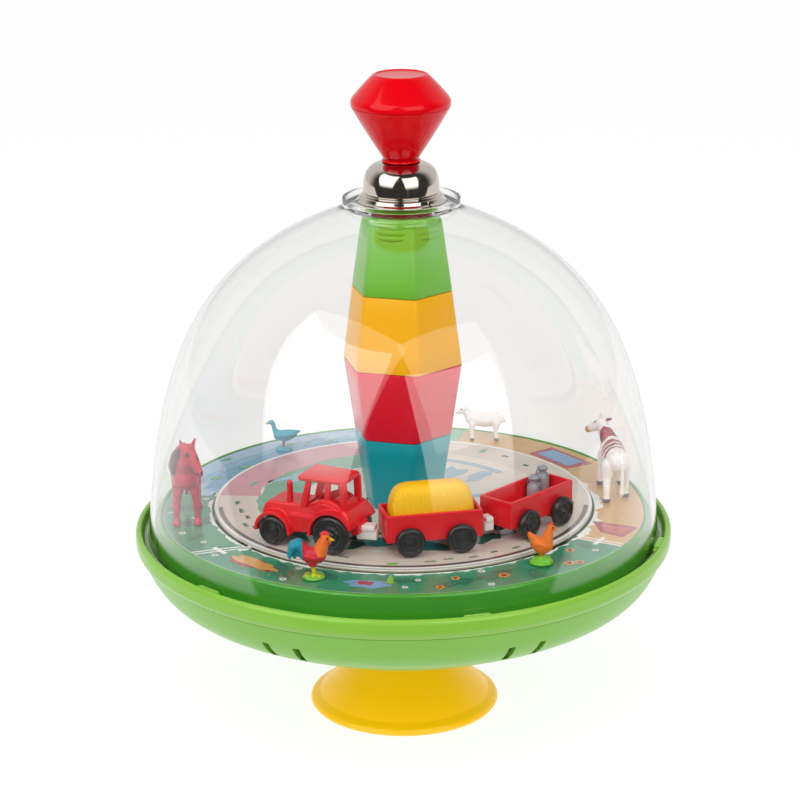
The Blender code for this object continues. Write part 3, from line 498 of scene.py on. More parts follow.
def prism_work(outline, low, high, axis="Y", bevel=0.0, segments=3):
    """Flat outline pushed through between two depths along an axis, as a bmesh."""
    work = bmesh.new()
    rows = []
    for depth in (low, high):
        if axis == "Y":
            rows.append([work.verts.new((a * MM, depth * MM, b * MM)) for a, b in outline])
        elif axis == "X":
            rows.append([work.verts.new((depth * MM, a * MM, b * MM)) for a, b in outline])
        else:
            rows.append([work.verts.new((a * MM, b * MM, depth * MM)) for a, b in outline])
    work.faces.new(rows[0])
    work.faces.new(list(reversed(rows[1])))
    count = len(outline)
    for index in range(count):
        after = (index + 1) % count
        work.faces.new((rows[0][index], rows[1][index], rows[1][after], rows[0][after]))
    bmesh.ops.recalc_face_normals(work, faces=work.faces)
    if bevel:
        sharp = [e for e in work.edges if e.calc_face_angle(0) > math.radians(30)]
        bmesh.ops.bevel(work, geom=sharp, offset=bevel * MM, segments=segments, profile=0.5,
                        affect="EDGES", clamp_overlap=True)
    return work


def rod_work(start, end, radius, radius_end=None, steps=32, round_tip=False):
    """Round bar between two points, sizes in millimetres, as a bmesh."""
    start, end = Vector(start), Vector(end)
    along = end - start
    tip = radius if radius_end is None else radius_end
    outline = [(0, 0), (radius, 0), (tip, along.length), (0, along.length)]
    if round_tip:
        arc = [(tip * math.cos(a * math.pi / 12), along.length + tip * math.sin(a * math.pi / 12))
               for a in range(6)]
        outline = [(0, 0), (radius, 0)] + arc + [(0, along.length + tip)]
    work = turned_work(softened(outline, 0.15, 2, 60), steps)
    turn = along.to_track_quat("Z", "Y").to_matrix().to_4x4()
    bmesh.ops.transform(work, matrix=Matrix.Translation(start * MM) @ turn, verts=work.verts)
    return work


def merged(works, name, matrix=None, tones=None):
    """Join closed bmeshes in one mesh; tones gives each one its material index."""
    total = bmesh.new()
    for index, work in enumerate(works):
        bmesh.ops.recalc_face_normals(work, faces=work.faces)
        for face in work.faces:
            face.material_index = tones[index] if tones else 0
        part = bpy.data.meshes.new("part")
        work.to_mesh(part)
        work.free()
        total.from_mesh(part)
        bpy.data.meshes.remove(part)
    return settle(total, name, matrix, False)


def cut(piece, works):
    """Cut closed bmeshes from a piece and keep the result as its mesh."""
    tools = []
    for work in works:
        tools.append(show("cutter", settle(work, "cutter")))
        step = piece.modifiers.new("cut", "BOOLEAN")
        step.operation = "DIFFERENCE"
        step.solver = "EXACT"
        step.object = tools[-1]
    keep_evaluated(piece)
    for tool in tools:
        bpy.data.objects.remove(tool, do_unlink=True)
    smooth(piece.data)
    return piece


def keep_evaluated(piece):
    """Replace a piece's mesh by its evaluated one and drop the modifiers."""
    bpy.context.view_layer.update()
    graph = bpy.context.evaluated_depsgraph_get()
    mesh = bpy.data.meshes.new_from_object(piece.evaluated_get(graph))
    mesh.name = piece.name
    piece.modifiers.clear()
    piece.data = mesh
    return piece


def grown(name, mesh, tree, values):
    """Run a geometry node tree on a mesh and keep the result as a plain mesh."""
    piece = bpy.data.objects.new(name, mesh)
    step = piece.modifiers.new("grow", "NODES")
    step.node_group = tree
    for item in tree.interface.items_tree:
        if item.item_type == "SOCKET" and item.in_out == "INPUT" and item.name in values:
            step[item.identifier] = values[item.name]
    bpy.context.scene.collection.objects.link(piece)
    return keep_evaluated(piece)


def points_mesh(name, points):
    """Mesh of loose points."""
    mesh = bpy.data.meshes.new(name)
    mesh.from_pydata([tuple(point) for point in points], [], [])
    return mesh


# ---------------------------------------------------------------- geometry node trees
def vector(tree, parts):
    """Vector with the given parts on axes 0, 1 and 2."""
    return put(tree, "ShaderNodeCombineXYZ", parts).outputs[0]


def painted_end(tree, given, result, shape):
    """End a tree with its instances made real and in the tree's paint."""
    solid = put(tree, "GeometryNodeRealizeInstances", {"Geometry": shape})
    painted = put(tree, "GeometryNodeSetMaterial", {"Geometry": solid.outputs[0], "Material": given["Paint"]})
    tree.links.new(painted.outputs[0], result["Geometry"])
    return tree


def flower_tree():
    """Flat flowers on points: a ring of petals round a heart."""
    tree, given, result = new_tree("flower_bed", "GeometryNodeTree", [
        ("Geometry", "Geometry", None), ("Petals", "Int", 6), ("Reach", "Float", 0.5 * MM),
        ("Petal length", "Float", 0.5 * MM), ("Petal width", "Float", 0.3 * MM),
        ("Heart", "Float", 0.3 * MM), ("Thickness", "Float", 0.06 * MM), ("Spread", "Float", 0.15),
        ("Seed", "Int", 3), ("Petal paint", "Material", None), ("Heart paint", "Material", None)],
        [("Geometry", "Geometry")])
    disc = put(tree, "GeometryNodeMeshCylinder", {"Vertices": 10, "Radius": 1.0, "Depth": given["Thickness"]})
    size = vector(tree, {0: given["Petal length"], 1: given["Petal width"], 2: 1.0})
    away = vector(tree, {0: given["Reach"]})
    petal = put(tree, "GeometryNodeTransform", {"Geometry": disc.outputs["Mesh"], "Scale": size,
                                                "Translation": away})
    ring = put(tree, "GeometryNodeMeshCircle", {"Vertices": given["Petals"], "Radius": 0.001 * MM})
    step = sums(tree, "DIVIDE", math.tau, given["Petals"])
    turn = sums(tree, "MULTIPLY", put(tree, "GeometryNodeInputIndex").outputs[0], step)
    facing = vector(tree, {2: turn})
    petals = put(tree, "GeometryNodeInstanceOnPoints", {
        "Points": ring.outputs["Mesh"], "Instance": petal.outputs[0], "Rotation": facing})
    raised = sums(tree, "MULTIPLY", given["Thickness"], 1.8)
    heart = put(tree, "GeometryNodeMeshCylinder", {"Vertices": 12, "Radius": given["Heart"], "Depth": raised})
    mark = put(tree, "GeometryNodeStoreNamedAttribute", {
        "Geometry": heart.outputs["Mesh"], "Name": "heart", "Value": True}, data_type="BOOLEAN",
               domain="FACE")
    flower = put(tree, "GeometryNodeJoinGeometry")
    tree.links.new(petals.outputs[0], flower.inputs[0])
    tree.links.new(mark.outputs[0], flower.inputs[0])
    spin = put(tree, "FunctionNodeRandomValue", {3: math.tau, 8: given["Seed"]})
    least = sums(tree, "SUBTRACT", 1.0, given["Spread"])
    most = sums(tree, "ADD", 1.0, given["Spread"])
    grow = put(tree, "FunctionNodeRandomValue", {2: least, 3: most, 8: given["Seed"]})
    spun = vector(tree, {2: spin.outputs[1]})
    sized = vector(tree, {0: grow.outputs[1], 1: grow.outputs[1], 2: 1.0})
    beds = put(tree, "GeometryNodeInstanceOnPoints", {
        "Points": given["Geometry"], "Instance": flower.outputs[0], "Rotation": spun,
        "Scale": sized})
    solid = put(tree, "GeometryNodeRealizeInstances", {"Geometry": beds.outputs[0]})
    pale = put(tree, "GeometryNodeSetMaterial", {"Geometry": solid.outputs[0],
                                                 "Material": given["Petal paint"]})
    hearts = put(tree, "GeometryNodeInputNamedAttribute", {"Name": "heart"}, data_type="BOOLEAN")
    both = put(tree, "GeometryNodeSetMaterial", {
        "Geometry": pale.outputs[0], "Selection": hearts.outputs[0], "Material": given["Heart paint"]})
    tree.links.new(both.outputs[0], result["Geometry"])
    return tree


def tuft_tree():
    """Flat grass tufts on points, with their tips towards the axis."""
    tree, given, result = new_tree("grass_tufts", "GeometryNodeTree", [
        ("Geometry", "Geometry", None), ("Blades", "Int", 5), ("Blade length", "Float", 1.1 * MM),
        ("Blade width", "Float", 0.32 * MM), ("Step", "Float", 0.75 * MM), ("Thickness", "Float", 0.06 * MM),
        ("Seed", "Int", 5), ("Paint", "Material", None)], [("Geometry", "Geometry")])
    wedge = put(tree, "GeometryNodeMeshCylinder", {"Vertices": 3, "Radius": 1.0, "Depth": given["Thickness"]})
    size = vector(tree, {0: given["Blade length"], 1: given["Blade width"], 2: 1.0})
    blade = put(tree, "GeometryNodeTransform", {"Geometry": wedge.outputs["Mesh"], "Scale": size})
    row_step = vector(tree, {1: given["Step"]})
    back = sums(tree, "MULTIPLY", sums(tree, "MULTIPLY", given["Step"], given["Blades"]), -0.5)
    row_start = vector(tree, {1: back})
    row = put(tree, "GeometryNodeMeshLine", {"Count": given["Blades"], "Start Location": row_start,
                                             "Offset": row_step}, mode="OFFSET")
    tall = put(tree, "FunctionNodeRandomValue", {2: 0.45, 3: 1.15, 8: given["Seed"]})
    stretch = vector(tree, {0: tall.outputs[1], 1: 1.0, 2: 1.0})
    tuft = put(tree, "GeometryNodeInstanceOnPoints", {
        "Points": row.outputs["Mesh"], "Instance": blade.outputs[0], "Scale": stretch})
    place = put(tree, "ShaderNodeSeparateXYZ", {0: put(tree, "GeometryNodeInputPosition").outputs[0]})
    outward = sums(tree, "ARCTAN2", place.outputs[1], place.outputs[0])
    inward = sums(tree, "ADD", outward, math.pi)
    facing = vector(tree, {2: inward})
    wide = put(tree, "FunctionNodeRandomValue", {2: 0.55, 3: 1.2, 8: given["Seed"]})
    width = vector(tree, {0: 1.0, 1: wide.outputs[1], 2: 1.0})
    tufts = put(tree, "GeometryNodeInstanceOnPoints", {
        "Points": given["Geometry"], "Instance": tuft.outputs[0], "Rotation": facing,
        "Scale": width})
    return painted_end(tree, given, result, tufts.outputs[0])


def strip_tree():
    """Flat bar twisted about the axis at a constant pitch."""
    tree, given, result = new_tree("twisted_strip", "GeometryNodeTree", [
        ("Geometry", "Geometry", None), ("Low", "Float", 0.0), ("High", "Float", 0.1),
        ("Width", "Float", 5 * MM), ("Thickness", "Float", 1.6 * MM), ("Pitch", "Float", 60 * MM),
        ("Steps", "Int", 120), ("Start turn", "Float", 0.0), ("Paint", "Material", None)],
        [("Geometry", "Geometry")])
    foot = vector(tree, {2: given["Low"]})
    head = vector(tree, {2: given["High"]})
    line = put(tree, "GeometryNodeCurvePrimitiveLine", {"Start": foot, "End": head})
    fine = put(tree, "GeometryNodeResampleCurve", {"Curve": line.outputs[0], "Count": given["Steps"]})
    place = put(tree, "ShaderNodeSeparateXYZ", {0: put(tree, "GeometryNodeInputPosition").outputs[0]})
    turns = sums(tree, "MULTIPLY", sums(tree, "DIVIDE", place.outputs[2], given["Pitch"]), math.tau)
    tilt = sums(tree, "ADD", turns, given["Start turn"])
    tilted = put(tree, "GeometryNodeSetCurveTilt", {"Curve": fine.outputs[0], "Tilt": tilt})
    section = put(tree, "GeometryNodeCurvePrimitiveQuadrilateral", {
        "Width": given["Width"], "Height": given["Thickness"]})
    soft = put(tree, "GeometryNodeFilletCurve", {"Curve": section.outputs[0], "Radius": 0.25 * MM,
                                                 "Count": 2},
               mode="POLY")
    bar = put(tree, "GeometryNodeCurveToMesh", {"Curve": tilted.outputs[0], "Profile Curve": soft.outputs[0],
                                                "Fill Caps": True})
    return painted_end(tree, given, result, bar.outputs[0])


def rib_tree():
    """Ribs across a bale: each point moves along its normal by a wave of its place."""
    tree, given, result = new_tree("bale_ribs", "GeometryNodeTree", [
        ("Geometry", "Geometry", None), ("Length", "Float", 29 * MM), ("Ribs", "Int", 34),
        ("Depth", "Float", 0.12 * MM), ("Lean", "Float", 0.35), ("Paint", "Material", None)],
        [("Geometry", "Geometry")])
    place = put(tree, "ShaderNodeSeparateXYZ", {0: put(tree, "GeometryNodeInputPosition").outputs[0]})
    leaning = sums(tree, "ADD", place.outputs[0], sums(tree, "MULTIPLY", place.outputs[1], given["Lean"]))
    waver = put(tree, "ShaderNodeTexNoise", {"Scale": 180.0, "Detail": 1.0})
    drift = sums(tree, "MULTIPLY", waver.outputs["Fac"], 1.6 * MM)
    share = sums(tree, "DIVIDE", sums(tree, "ADD", leaning, drift), given["Length"])
    wave = sums(tree, "SINE", sums(tree, "MULTIPLY", sums(tree, "MULTIPLY", share, given["Ribs"]), math.tau))
    lift = sums(tree, "MULTIPLY", wave, given["Depth"])
    push = put(tree, "ShaderNodeVectorMath", {0: put(tree, "GeometryNodeInputNormal").outputs[0], 3: lift},
               operation="SCALE")
    moved = put(tree, "GeometryNodeSetPosition", {"Geometry": given["Geometry"], "Offset": push.outputs[0]})
    return painted_end(tree, given, result, moved.outputs[0])


# ---------------------------------------------------------------- shells
def foot_outline():
    """Suction cup: thick beaded lip, concave flank and a round neck."""
    lip = [(29.8, 0), (33.2, 0), (34.1, 1.4), (33.4, 2.7), (31.6, 3.5)]
    flank = curve_points((30.6, 3.9), (26.0, 9.6), (17.0, 16.0), (15.4, 24.0), 14)
    return lip + flank + [(15.0, 26.0), (2.8, 26.0), (2.8, 11.0), (0.0, 11.0), (0.0, 9.4), (9.0, 9.0),
                          (18.0, 7.2), (25.0, 4.0), (28.6, 1.2)]


def bowl_outline(wall=2.0):
    """Bowl wall with the hub that holds the bush."""
    lower = curve_points((30, 30), (48, 31.5), (62, 37), (75, 44.3), 14)
    upper = curve_points((75, 44.3), (88.6, 48.7), (90, 55.7), (93.2, 62.3), 18)
    outer = lower + upper[1:]
    inner = inset(outer, wall)
    inner[0] = (30, 30 + wall)
    inner[-1] = (93.2 - wall, 62.3)
    return [(6.3, 30)] + outer + inner[::-1] + [(9.0, 32.0), (9.0, 40.8), (6.3, 40.8)]


def slot_cutter(azimuth, lean, width, length):
    """Slanted prism for one humming slot."""
    work = block_work((width / MM, 14, length / MM), (0, 0, 0), 0.35, 2)
    shear = Matrix.Identity(4)
    shear[0][2] = lean
    bmesh.ops.transform(work, matrix=shear, verts=work.verts)
    move = Matrix.Rotation(math.radians(azimuth), 4, "Z") @ Matrix.Translation((0, -87 * MM, 51.6 * MM))
    bmesh.ops.transform(work, matrix=move, verts=work.verts)
    return work


def dome_outline(wall=1.8):
    """Clear dome from its foot flange to the collar round its neck."""
    outer = curve_points((90.4, 66.8), (85.7, 138.1), (68.1, 165.9), (19, 183.6), 64)
    inner = inset(outer, wall)
    inner[0] = (90.4 - wall, 66.0)
    inner[-1] = (19, 183.6 - wall)
    collar = [(20.3, 184.4), (20.3, 187.0), (19.1, 187.0), (19.1, 185.2), (11.2, 185.2), (11.2, 183.2),
              (17.0, 183.0)]
    return [(92.2, 66.0), (92.2, 66.7)] + outer + collar + inner[::-1]


def cap_outline(wall=0.8):
    """Bell-shaped cap with a stepped flange."""
    bell = curve_points((13.2, 189.2), (13.2, 195.8), (11.6, 198.2), (6.8, 199.3), 20)
    return ([(11.3, 185.5), (15.4, 185.5), (15.4, 186.2), (14.5, 186.7), (14.2, 187.9), (12.9, 188.3),
             (12.9, 188.8)]
            + bell + [(4.0, 199.3), (4.0, 198.5)] + inset(bell, wall)[::-1] + [(12.0, 188.4), (11.3, 187.4)])


def build_foot(shell):
    """Suction cup on the floor; its vinyl glows weakly in its own colour as painted light, because it stands
    in the bowl's shade.
    """
    # Painted light: an emission in the foot's own colour brightens the foot where the bowl shades it.
    vinyl = plastic("foot_vinyl", shell.foot, 0.34, 0.12, 0.05, emission_color=(*shell.foot, 1.0),
                    emission_strength=0.4)
    cup = turned("suction_foot", foot_outline(), vinyl, shell.steps, 0.5)
    fit(cup, "foot", ["suction_cup"])


def build_bowl(shell):
    """Bowl with its pairs of humming slots, and the rim with lugs in its channel."""
    bowl = turned("bowl_shell", bowl_outline(), plastic("bowl_plastic", shell.bowl, 0.3, 0.1), shell.steps,
                  0.3)
    cutters = []
    for centre in (27, 90, 153, 207, 270, 333):
        lean = -0.05 if centre > 180 else 0.05
        for offset in (-3.7, 3.7):
            cutters.append(slot_cutter(centre + offset, lean, shell.slot_width, shell.slot_length))
    cut(bowl, cutters)
    fit(bowl, "shell", ["bowl"])
    lip = [(93.3, 62.33), (93.8, 62.9), (94.9, 64.6), (95.0, 68.4), (94.4, 69.6), (93.2, 69.6), (92.7, 69.0),
           (92.7, 65.0),
           (88.4, 65.0), (88.4, 62.33)]
    works = [turned_work(softened(lip, shell.corner / MM * 1.6), shell.steps)]
    for index in range(6):
        for start, length, low, high in ((0, 9, 67.4, 69.3), (5.4, 2.4, 67.0, 68.5), (-4.2, 1.2, 65.0, 68.8)):
            lug = block_work((length, 2.0, high - low), (start, 91.9, (high + low) / 2), 0.2)
            turn = Matrix.Rotation(math.radians(15 + 60 * index), 4, "Z")
            bmesh.ops.transform(lug, matrix=turn, verts=lug.verts)
            works.append(lug)
    mesh = merged(works, "rim_lip")
    smooth(mesh)
    fit(show("rim_lip", mesh, plastic("rim_plastic", shell.rim, 0.26, 0.08)), "shell", ["rim_ring"])


def build_dome(shell):
    """Clear dome."""
    dome = turned("clear_dome", dome_outline(), clear_styrene(shell.dome), shell.steps, 0.25)
    fit(dome, "shell", ["dome"])


def build_cap(shell):
    """Nickel-plated cap with slits in its flange."""
    cap = turned("nickel_cap", cap_outline(), nickel_plate(shell.nickel), 128, 0.25)
    slits = []
    for index in range(3):
        slit = block_work((0.8, 4, 4), (0, -16.2, 186), 0.0)
        bmesh.ops.rotate(slit, cent=(0, 0, 0), verts=slit.verts,
                         matrix=Matrix.Rotation(math.radians(40 + 120 * index), 3, "Z"))
        slits.append(slit)
    cut(cap, slits)
    fit(cap, "shell", ["metal_cap"])


def build_tray(shell):
    """Green tray under the landscape."""
    outline = [(10.0, 76.6), (10.0, 73.4), (66.0, 73.4), (67.6, 74.3), (67.9, 74.3), (85.5, 74.3),
               (85.5, 75.6),
               (86.7, 75.6), (87.1, 74.8), (87.1, 60.6), (85.8, 60.6), (85.8, 73.1), (68.6, 73.1),
               (66.6, 72.0), (8.6, 72.0), (8.6, 76.6)]
    tray = turned("farm_tray", outline, plastic("tray_plastic", shell.tray, 0.28), shell.steps, 0.3)
    fit(tray, "shell", ["landscape_tray"])


def hexagon(radius, corner, turn, steps=4):
    """Hexagon outline with rounded corners, one corner at the turn."""
    corners = [Vector((radius * math.cos(math.radians(turn + 60 * k)),
                       radius * math.sin(math.radians(turn + 60 * k))))
               for k in range(6)]
    points = []
    for index, here in enumerate(corners):
        start = here + (corners[index - 1] - here).normalized() * corner
        end = here + (corners[(index + 1) % 6] - here).normalized() * corner
        for step in range(steps + 1):
            t = step / steps
            points.append(start * (1 - t) ** 2 + here * 2 * t * (1 - t) + end * t ** 2)
    return points


def lofted_work(loops):
    """Skin a closed ring of loops, each with its height, as a bmesh."""
    work = bmesh.new()
    rings = [[work.verts.new((p[0] * MM, p[1] * MM, z * MM)) for p in loop] for loop, z in loops]
    join_rings(work, rings + rings[:1])
    return work


def build_column(shell):
    """Four tapered hexagonal blocks with a seam between each two."""
    heights = [77.0, 103.0, 128.6, 154.7, 178.0]
    radii = [14.0, 18.0, 21.8, 18.3, 14.8]
    looks = [("teal", "teal_plastic"), ("red", "red_plastic"), ("yellow", "yellow_plastic"),
             ("green", "leaf_plastic")]
    turn = -76.0
    for index, (word, slot) in enumerate(looks):
        low = heights[index] + (0.12 if index else 0)
        high = heights[index + 1] - (0.12 if index < 3 else 0)
        first, last = radii[index], radii[index + 1]
        slope = (last - first) / (high - low)
        edge = 0.3
        bore = 8.0
        angles = [math.radians(turn + 12 * k - 24) for k in range(30)]
        inner = [Vector((bore * math.cos(angle), bore * math.sin(angle))) for angle in angles]
        loops = [(inner, low), (hexagon(first - edge, 1.5, turn), low),
                 (hexagon(first + slope * edge - 0.08, 1.6, turn), low + edge * 0.3),
                 (hexagon(first + slope * edge, 1.7, turn), low + edge)]
        for share in (0.25, 0.5, 0.75):
            z = low + (high - low) * share
            loops.append((hexagon(first + slope * (z - low), 1.7, turn), z))
        loops += [(hexagon(last - slope * edge, 1.7, turn), high - edge),
                  (hexagon(last - slope * edge - 0.08, 1.6, turn), high - edge * 0.3),
                  (hexagon(last - edge, 1.5, turn), high), (inner, high)]
        works = [lofted_work(loops)]
        if word == "green":
            neck = [(10.2, 173.6), (13.4, 173.6), (14.1, 174.3), (14.1, 175.1), (13.6, 175.5), (13.6, 175.8),
                    (14.0, 176.1), (14.0, 177.0), (13.4, 177.4), (13.4, 177.8), (13.7, 178.1), (13.6, 180.0),
                    (13.2, 180.6), (10.2, 180.6)]
            works.append(turned_work(softened(neck, 0.2), 96))
        mesh = merged(works, "column_block_" + word)
        smooth(mesh, 25)
        look = plastic("column_" + word, getattr(shell, word), 0.24, 0.06, 0.0)
        fit(show("column_block_" + word, mesh, look), "shell", ["column_" + word])


def build_pump(shell):
    """Knob of two shells, the twisted spindle and the drive nut."""
    red = plastic("knob_plastic", shell.knob, 0.14, 0.04, 0.0, specular_ior_level=0.26)
    low = curve_points((17.05, 218.6), (15.4, 215.2), (8.6, 204.4), (6.4, 201.2), 20)
    skirt = [(5.2, 200.9), (5.0, 200.4), (6.5, 200.2), (6.7, 199.6), (3.3, 199.6), (3.3, 214.0), (5.2, 214.0),
             (5.2, 204.2), (6.2, 204.2),
             (11.4, 213.6), (14.6, 218.5)]
    fit(turned("knob_cup", low + skirt, red, 128, 0.2), "pump", ["knob_lower"])
    slope = curve_points((9.2, 229.4), (10.4, 228.6), (14.2, 224.4), (16.3, 221.9), 12)
    high = slope + curve_points((16.3, 221.9), (17.2, 220.8), (17.3, 219.9), (17.05, 218.68), 10)[1:]
    hollow = [(14.6, 218.68), (12.4, 223.4), (7.6, 227.6), (0, 227.6)]
    crown = [(0, 229.1), (8.2, 229.1), (8.6, 229.5)]
    fit(turned("knob_crown", crown + high + hollow, red, 128, 0.2), "pump", ["knob_upper"])
    bottom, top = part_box("spindle")
    strip = grown("twisted_spindle", points_mesh("seed", [(0, 0, 0)]), strip_tree(), {
        "Low": bottom.z, "High": top.z, "Steps": 200, "Paint": bare_steel()})
    smooth(strip.data)
    fit(strip, "pump", ["spindle"])
    nut = [(3.9, 180.9), (10.4, 180.9), (10.4, 184.6), (8.4, 187.0), (8.4, 195.0), (3.0, 195.0), (3.0, 189.0),
           (3.9, 189.0)]
    fit(turned("drive_hub", nut, plastic("drive_plastic", srgb(150, 10, 20), 0.3), 96, 0.3), "drive",
        ["drive_nut"])


# ---------------------------------------------------------------- printed farmland
def polar(radius, azimuth):
    """Point in millimetres from a radius and an azimuth."""
    angle = math.radians(azimuth)
    return Vector((radius * math.sin(angle), -radius * math.cos(angle)))


class InkSheet:
    """Layers of thin printed slabs gathered in one mesh."""

    def __init__(self, ground, layer):
        self.work = bmesh.new()
        self.ground = ground
        self.layer = layer
        self.looks = []

    def tone(self, look):
        """Material index of an ink."""
        if look not in self.looks:
            self.looks.append(look)
        return self.looks.index(look)

    def patch(self, outline, level, look):
        """One closed slab with the given outline."""
        area = sum(a[0] * b[1] - b[0] * a[1] for a, b in zip(outline, outline[1:] + outline[:1]))
        points = list(outline) if area > 0 else list(reversed(outline))
        high = self.ground + level * self.layer
        low = self.ground - 0.1 * MM
        top = [self.work.verts.new((x * MM, y * MM, high)) for x, y in points]
        base = [self.work.verts.new((x * MM, y * MM, low)) for x, y in points]
        faces = [self.work.faces.new(top), self.work.faces.new(base[::-1])]
        count = len(points)
        for index in range(count):
            after = (index + 1) % count
            faces.append(self.work.faces.new((base[index], base[after], top[after], top[index])))
        tone = self.tone(look)
        for face in faces:
            face.material_index = tone

    def band(self, inner, outer, start, end, level, look, step=6.0):
        """Part of a ring; inner and outer are radii or rules of the azimuth."""
        count = max(1, math.ceil(abs(end - start) / step))
        low = inner if callable(inner) else lambda azimuth: inner
        high = outer if callable(outer) else lambda azimuth: outer
        for index in range(count):
            first = start + (end - start) * index / count
            last = start + (end - start) * (index + 1) / count
            rim = [first + (last - first) * k / 6 for k in range(7)]
            outline = [polar(high(a), a) for a in rim] + [polar(low(a), a) for a in reversed(rim)]
            self.patch([tuple(p) for p in outline], level, look)

    def blob(self, place, reach, breadth, turn, level, look, ragged=0.15, count=22, seed=1.0):
        """Uneven oval; reach and breadth are its half sizes."""
        centre = polar(*place)
        spin = Matrix.Rotation(math.radians(turn), 2)
        outline = []
        for index in range(count):
            angle = math.tau * index / count
            wave = noise.noise(Vector((math.cos(angle) * 1.7 + seed * 7.3, math.sin(angle) * 1.7, seed)))
            size = 1 + ragged * 2 * wave
            outline.append(tuple(centre + spin @ Vector((reach * math.cos(angle) * size,
                                                         breadth * math.sin(angle) * size))))
        self.patch(outline, level, look)

    def stroke(self, start, end, width, level, look):
        """Straight stroke between two polar places."""
        first, last = polar(*start), polar(*end)
        side = (last - first).normalized().orthogonal() * (width / 2)
        self.patch([tuple(first + side), tuple(first - side), tuple(last - side), tuple(last + side)],
                   level, look)

    def shape(self, places, level, look):
        """Outline through polar places."""
        self.patch([tuple(polar(*place)) for place in places], level, look)

    def finished(self, name):
        """Object of all the slabs."""
        mesh = settle(self.work, name, None, False)
        return show(name, mesh, *self.looks)


def wavy(radius, depth, rate, seed):
    """Radius that wanders with the azimuth, for a hand-drawn border."""
    return lambda azimuth: radius + depth * noise.noise(Vector((azimuth * rate, seed, 0.5))) * 2


DAISIES = [(81, -69.2), (77.5, -61), (80.3, -51.6), (71.2, -29), (82, -28.7), (73.8, 3.6), (79.7, 0.3),
           (70.8, 21.2), (82.6, 20.2), (79.9, 53.6), (70.8, -94.4), (82.2, -84), (74.5, -79), (80, 176),
           (73, -176)]
POPPIES = [(74, 13.2), (80.7, 8.4), (77, 25.2), (73.2, 49.8), (82.5, 44.9), (80.6, 42.8)]
TUFTS = [(59, -88), (58, -80), (57, -73), (60, -66), (58, -62), (60, -30), (59, -20), (62, -3), (61, 8),
         (60, 14), (61, 22), (60, 30), (61, 38), (60, 45), (60, 85), (59, 100), (58, 128), (60, 140),
         (57, -176), (59, 170)]


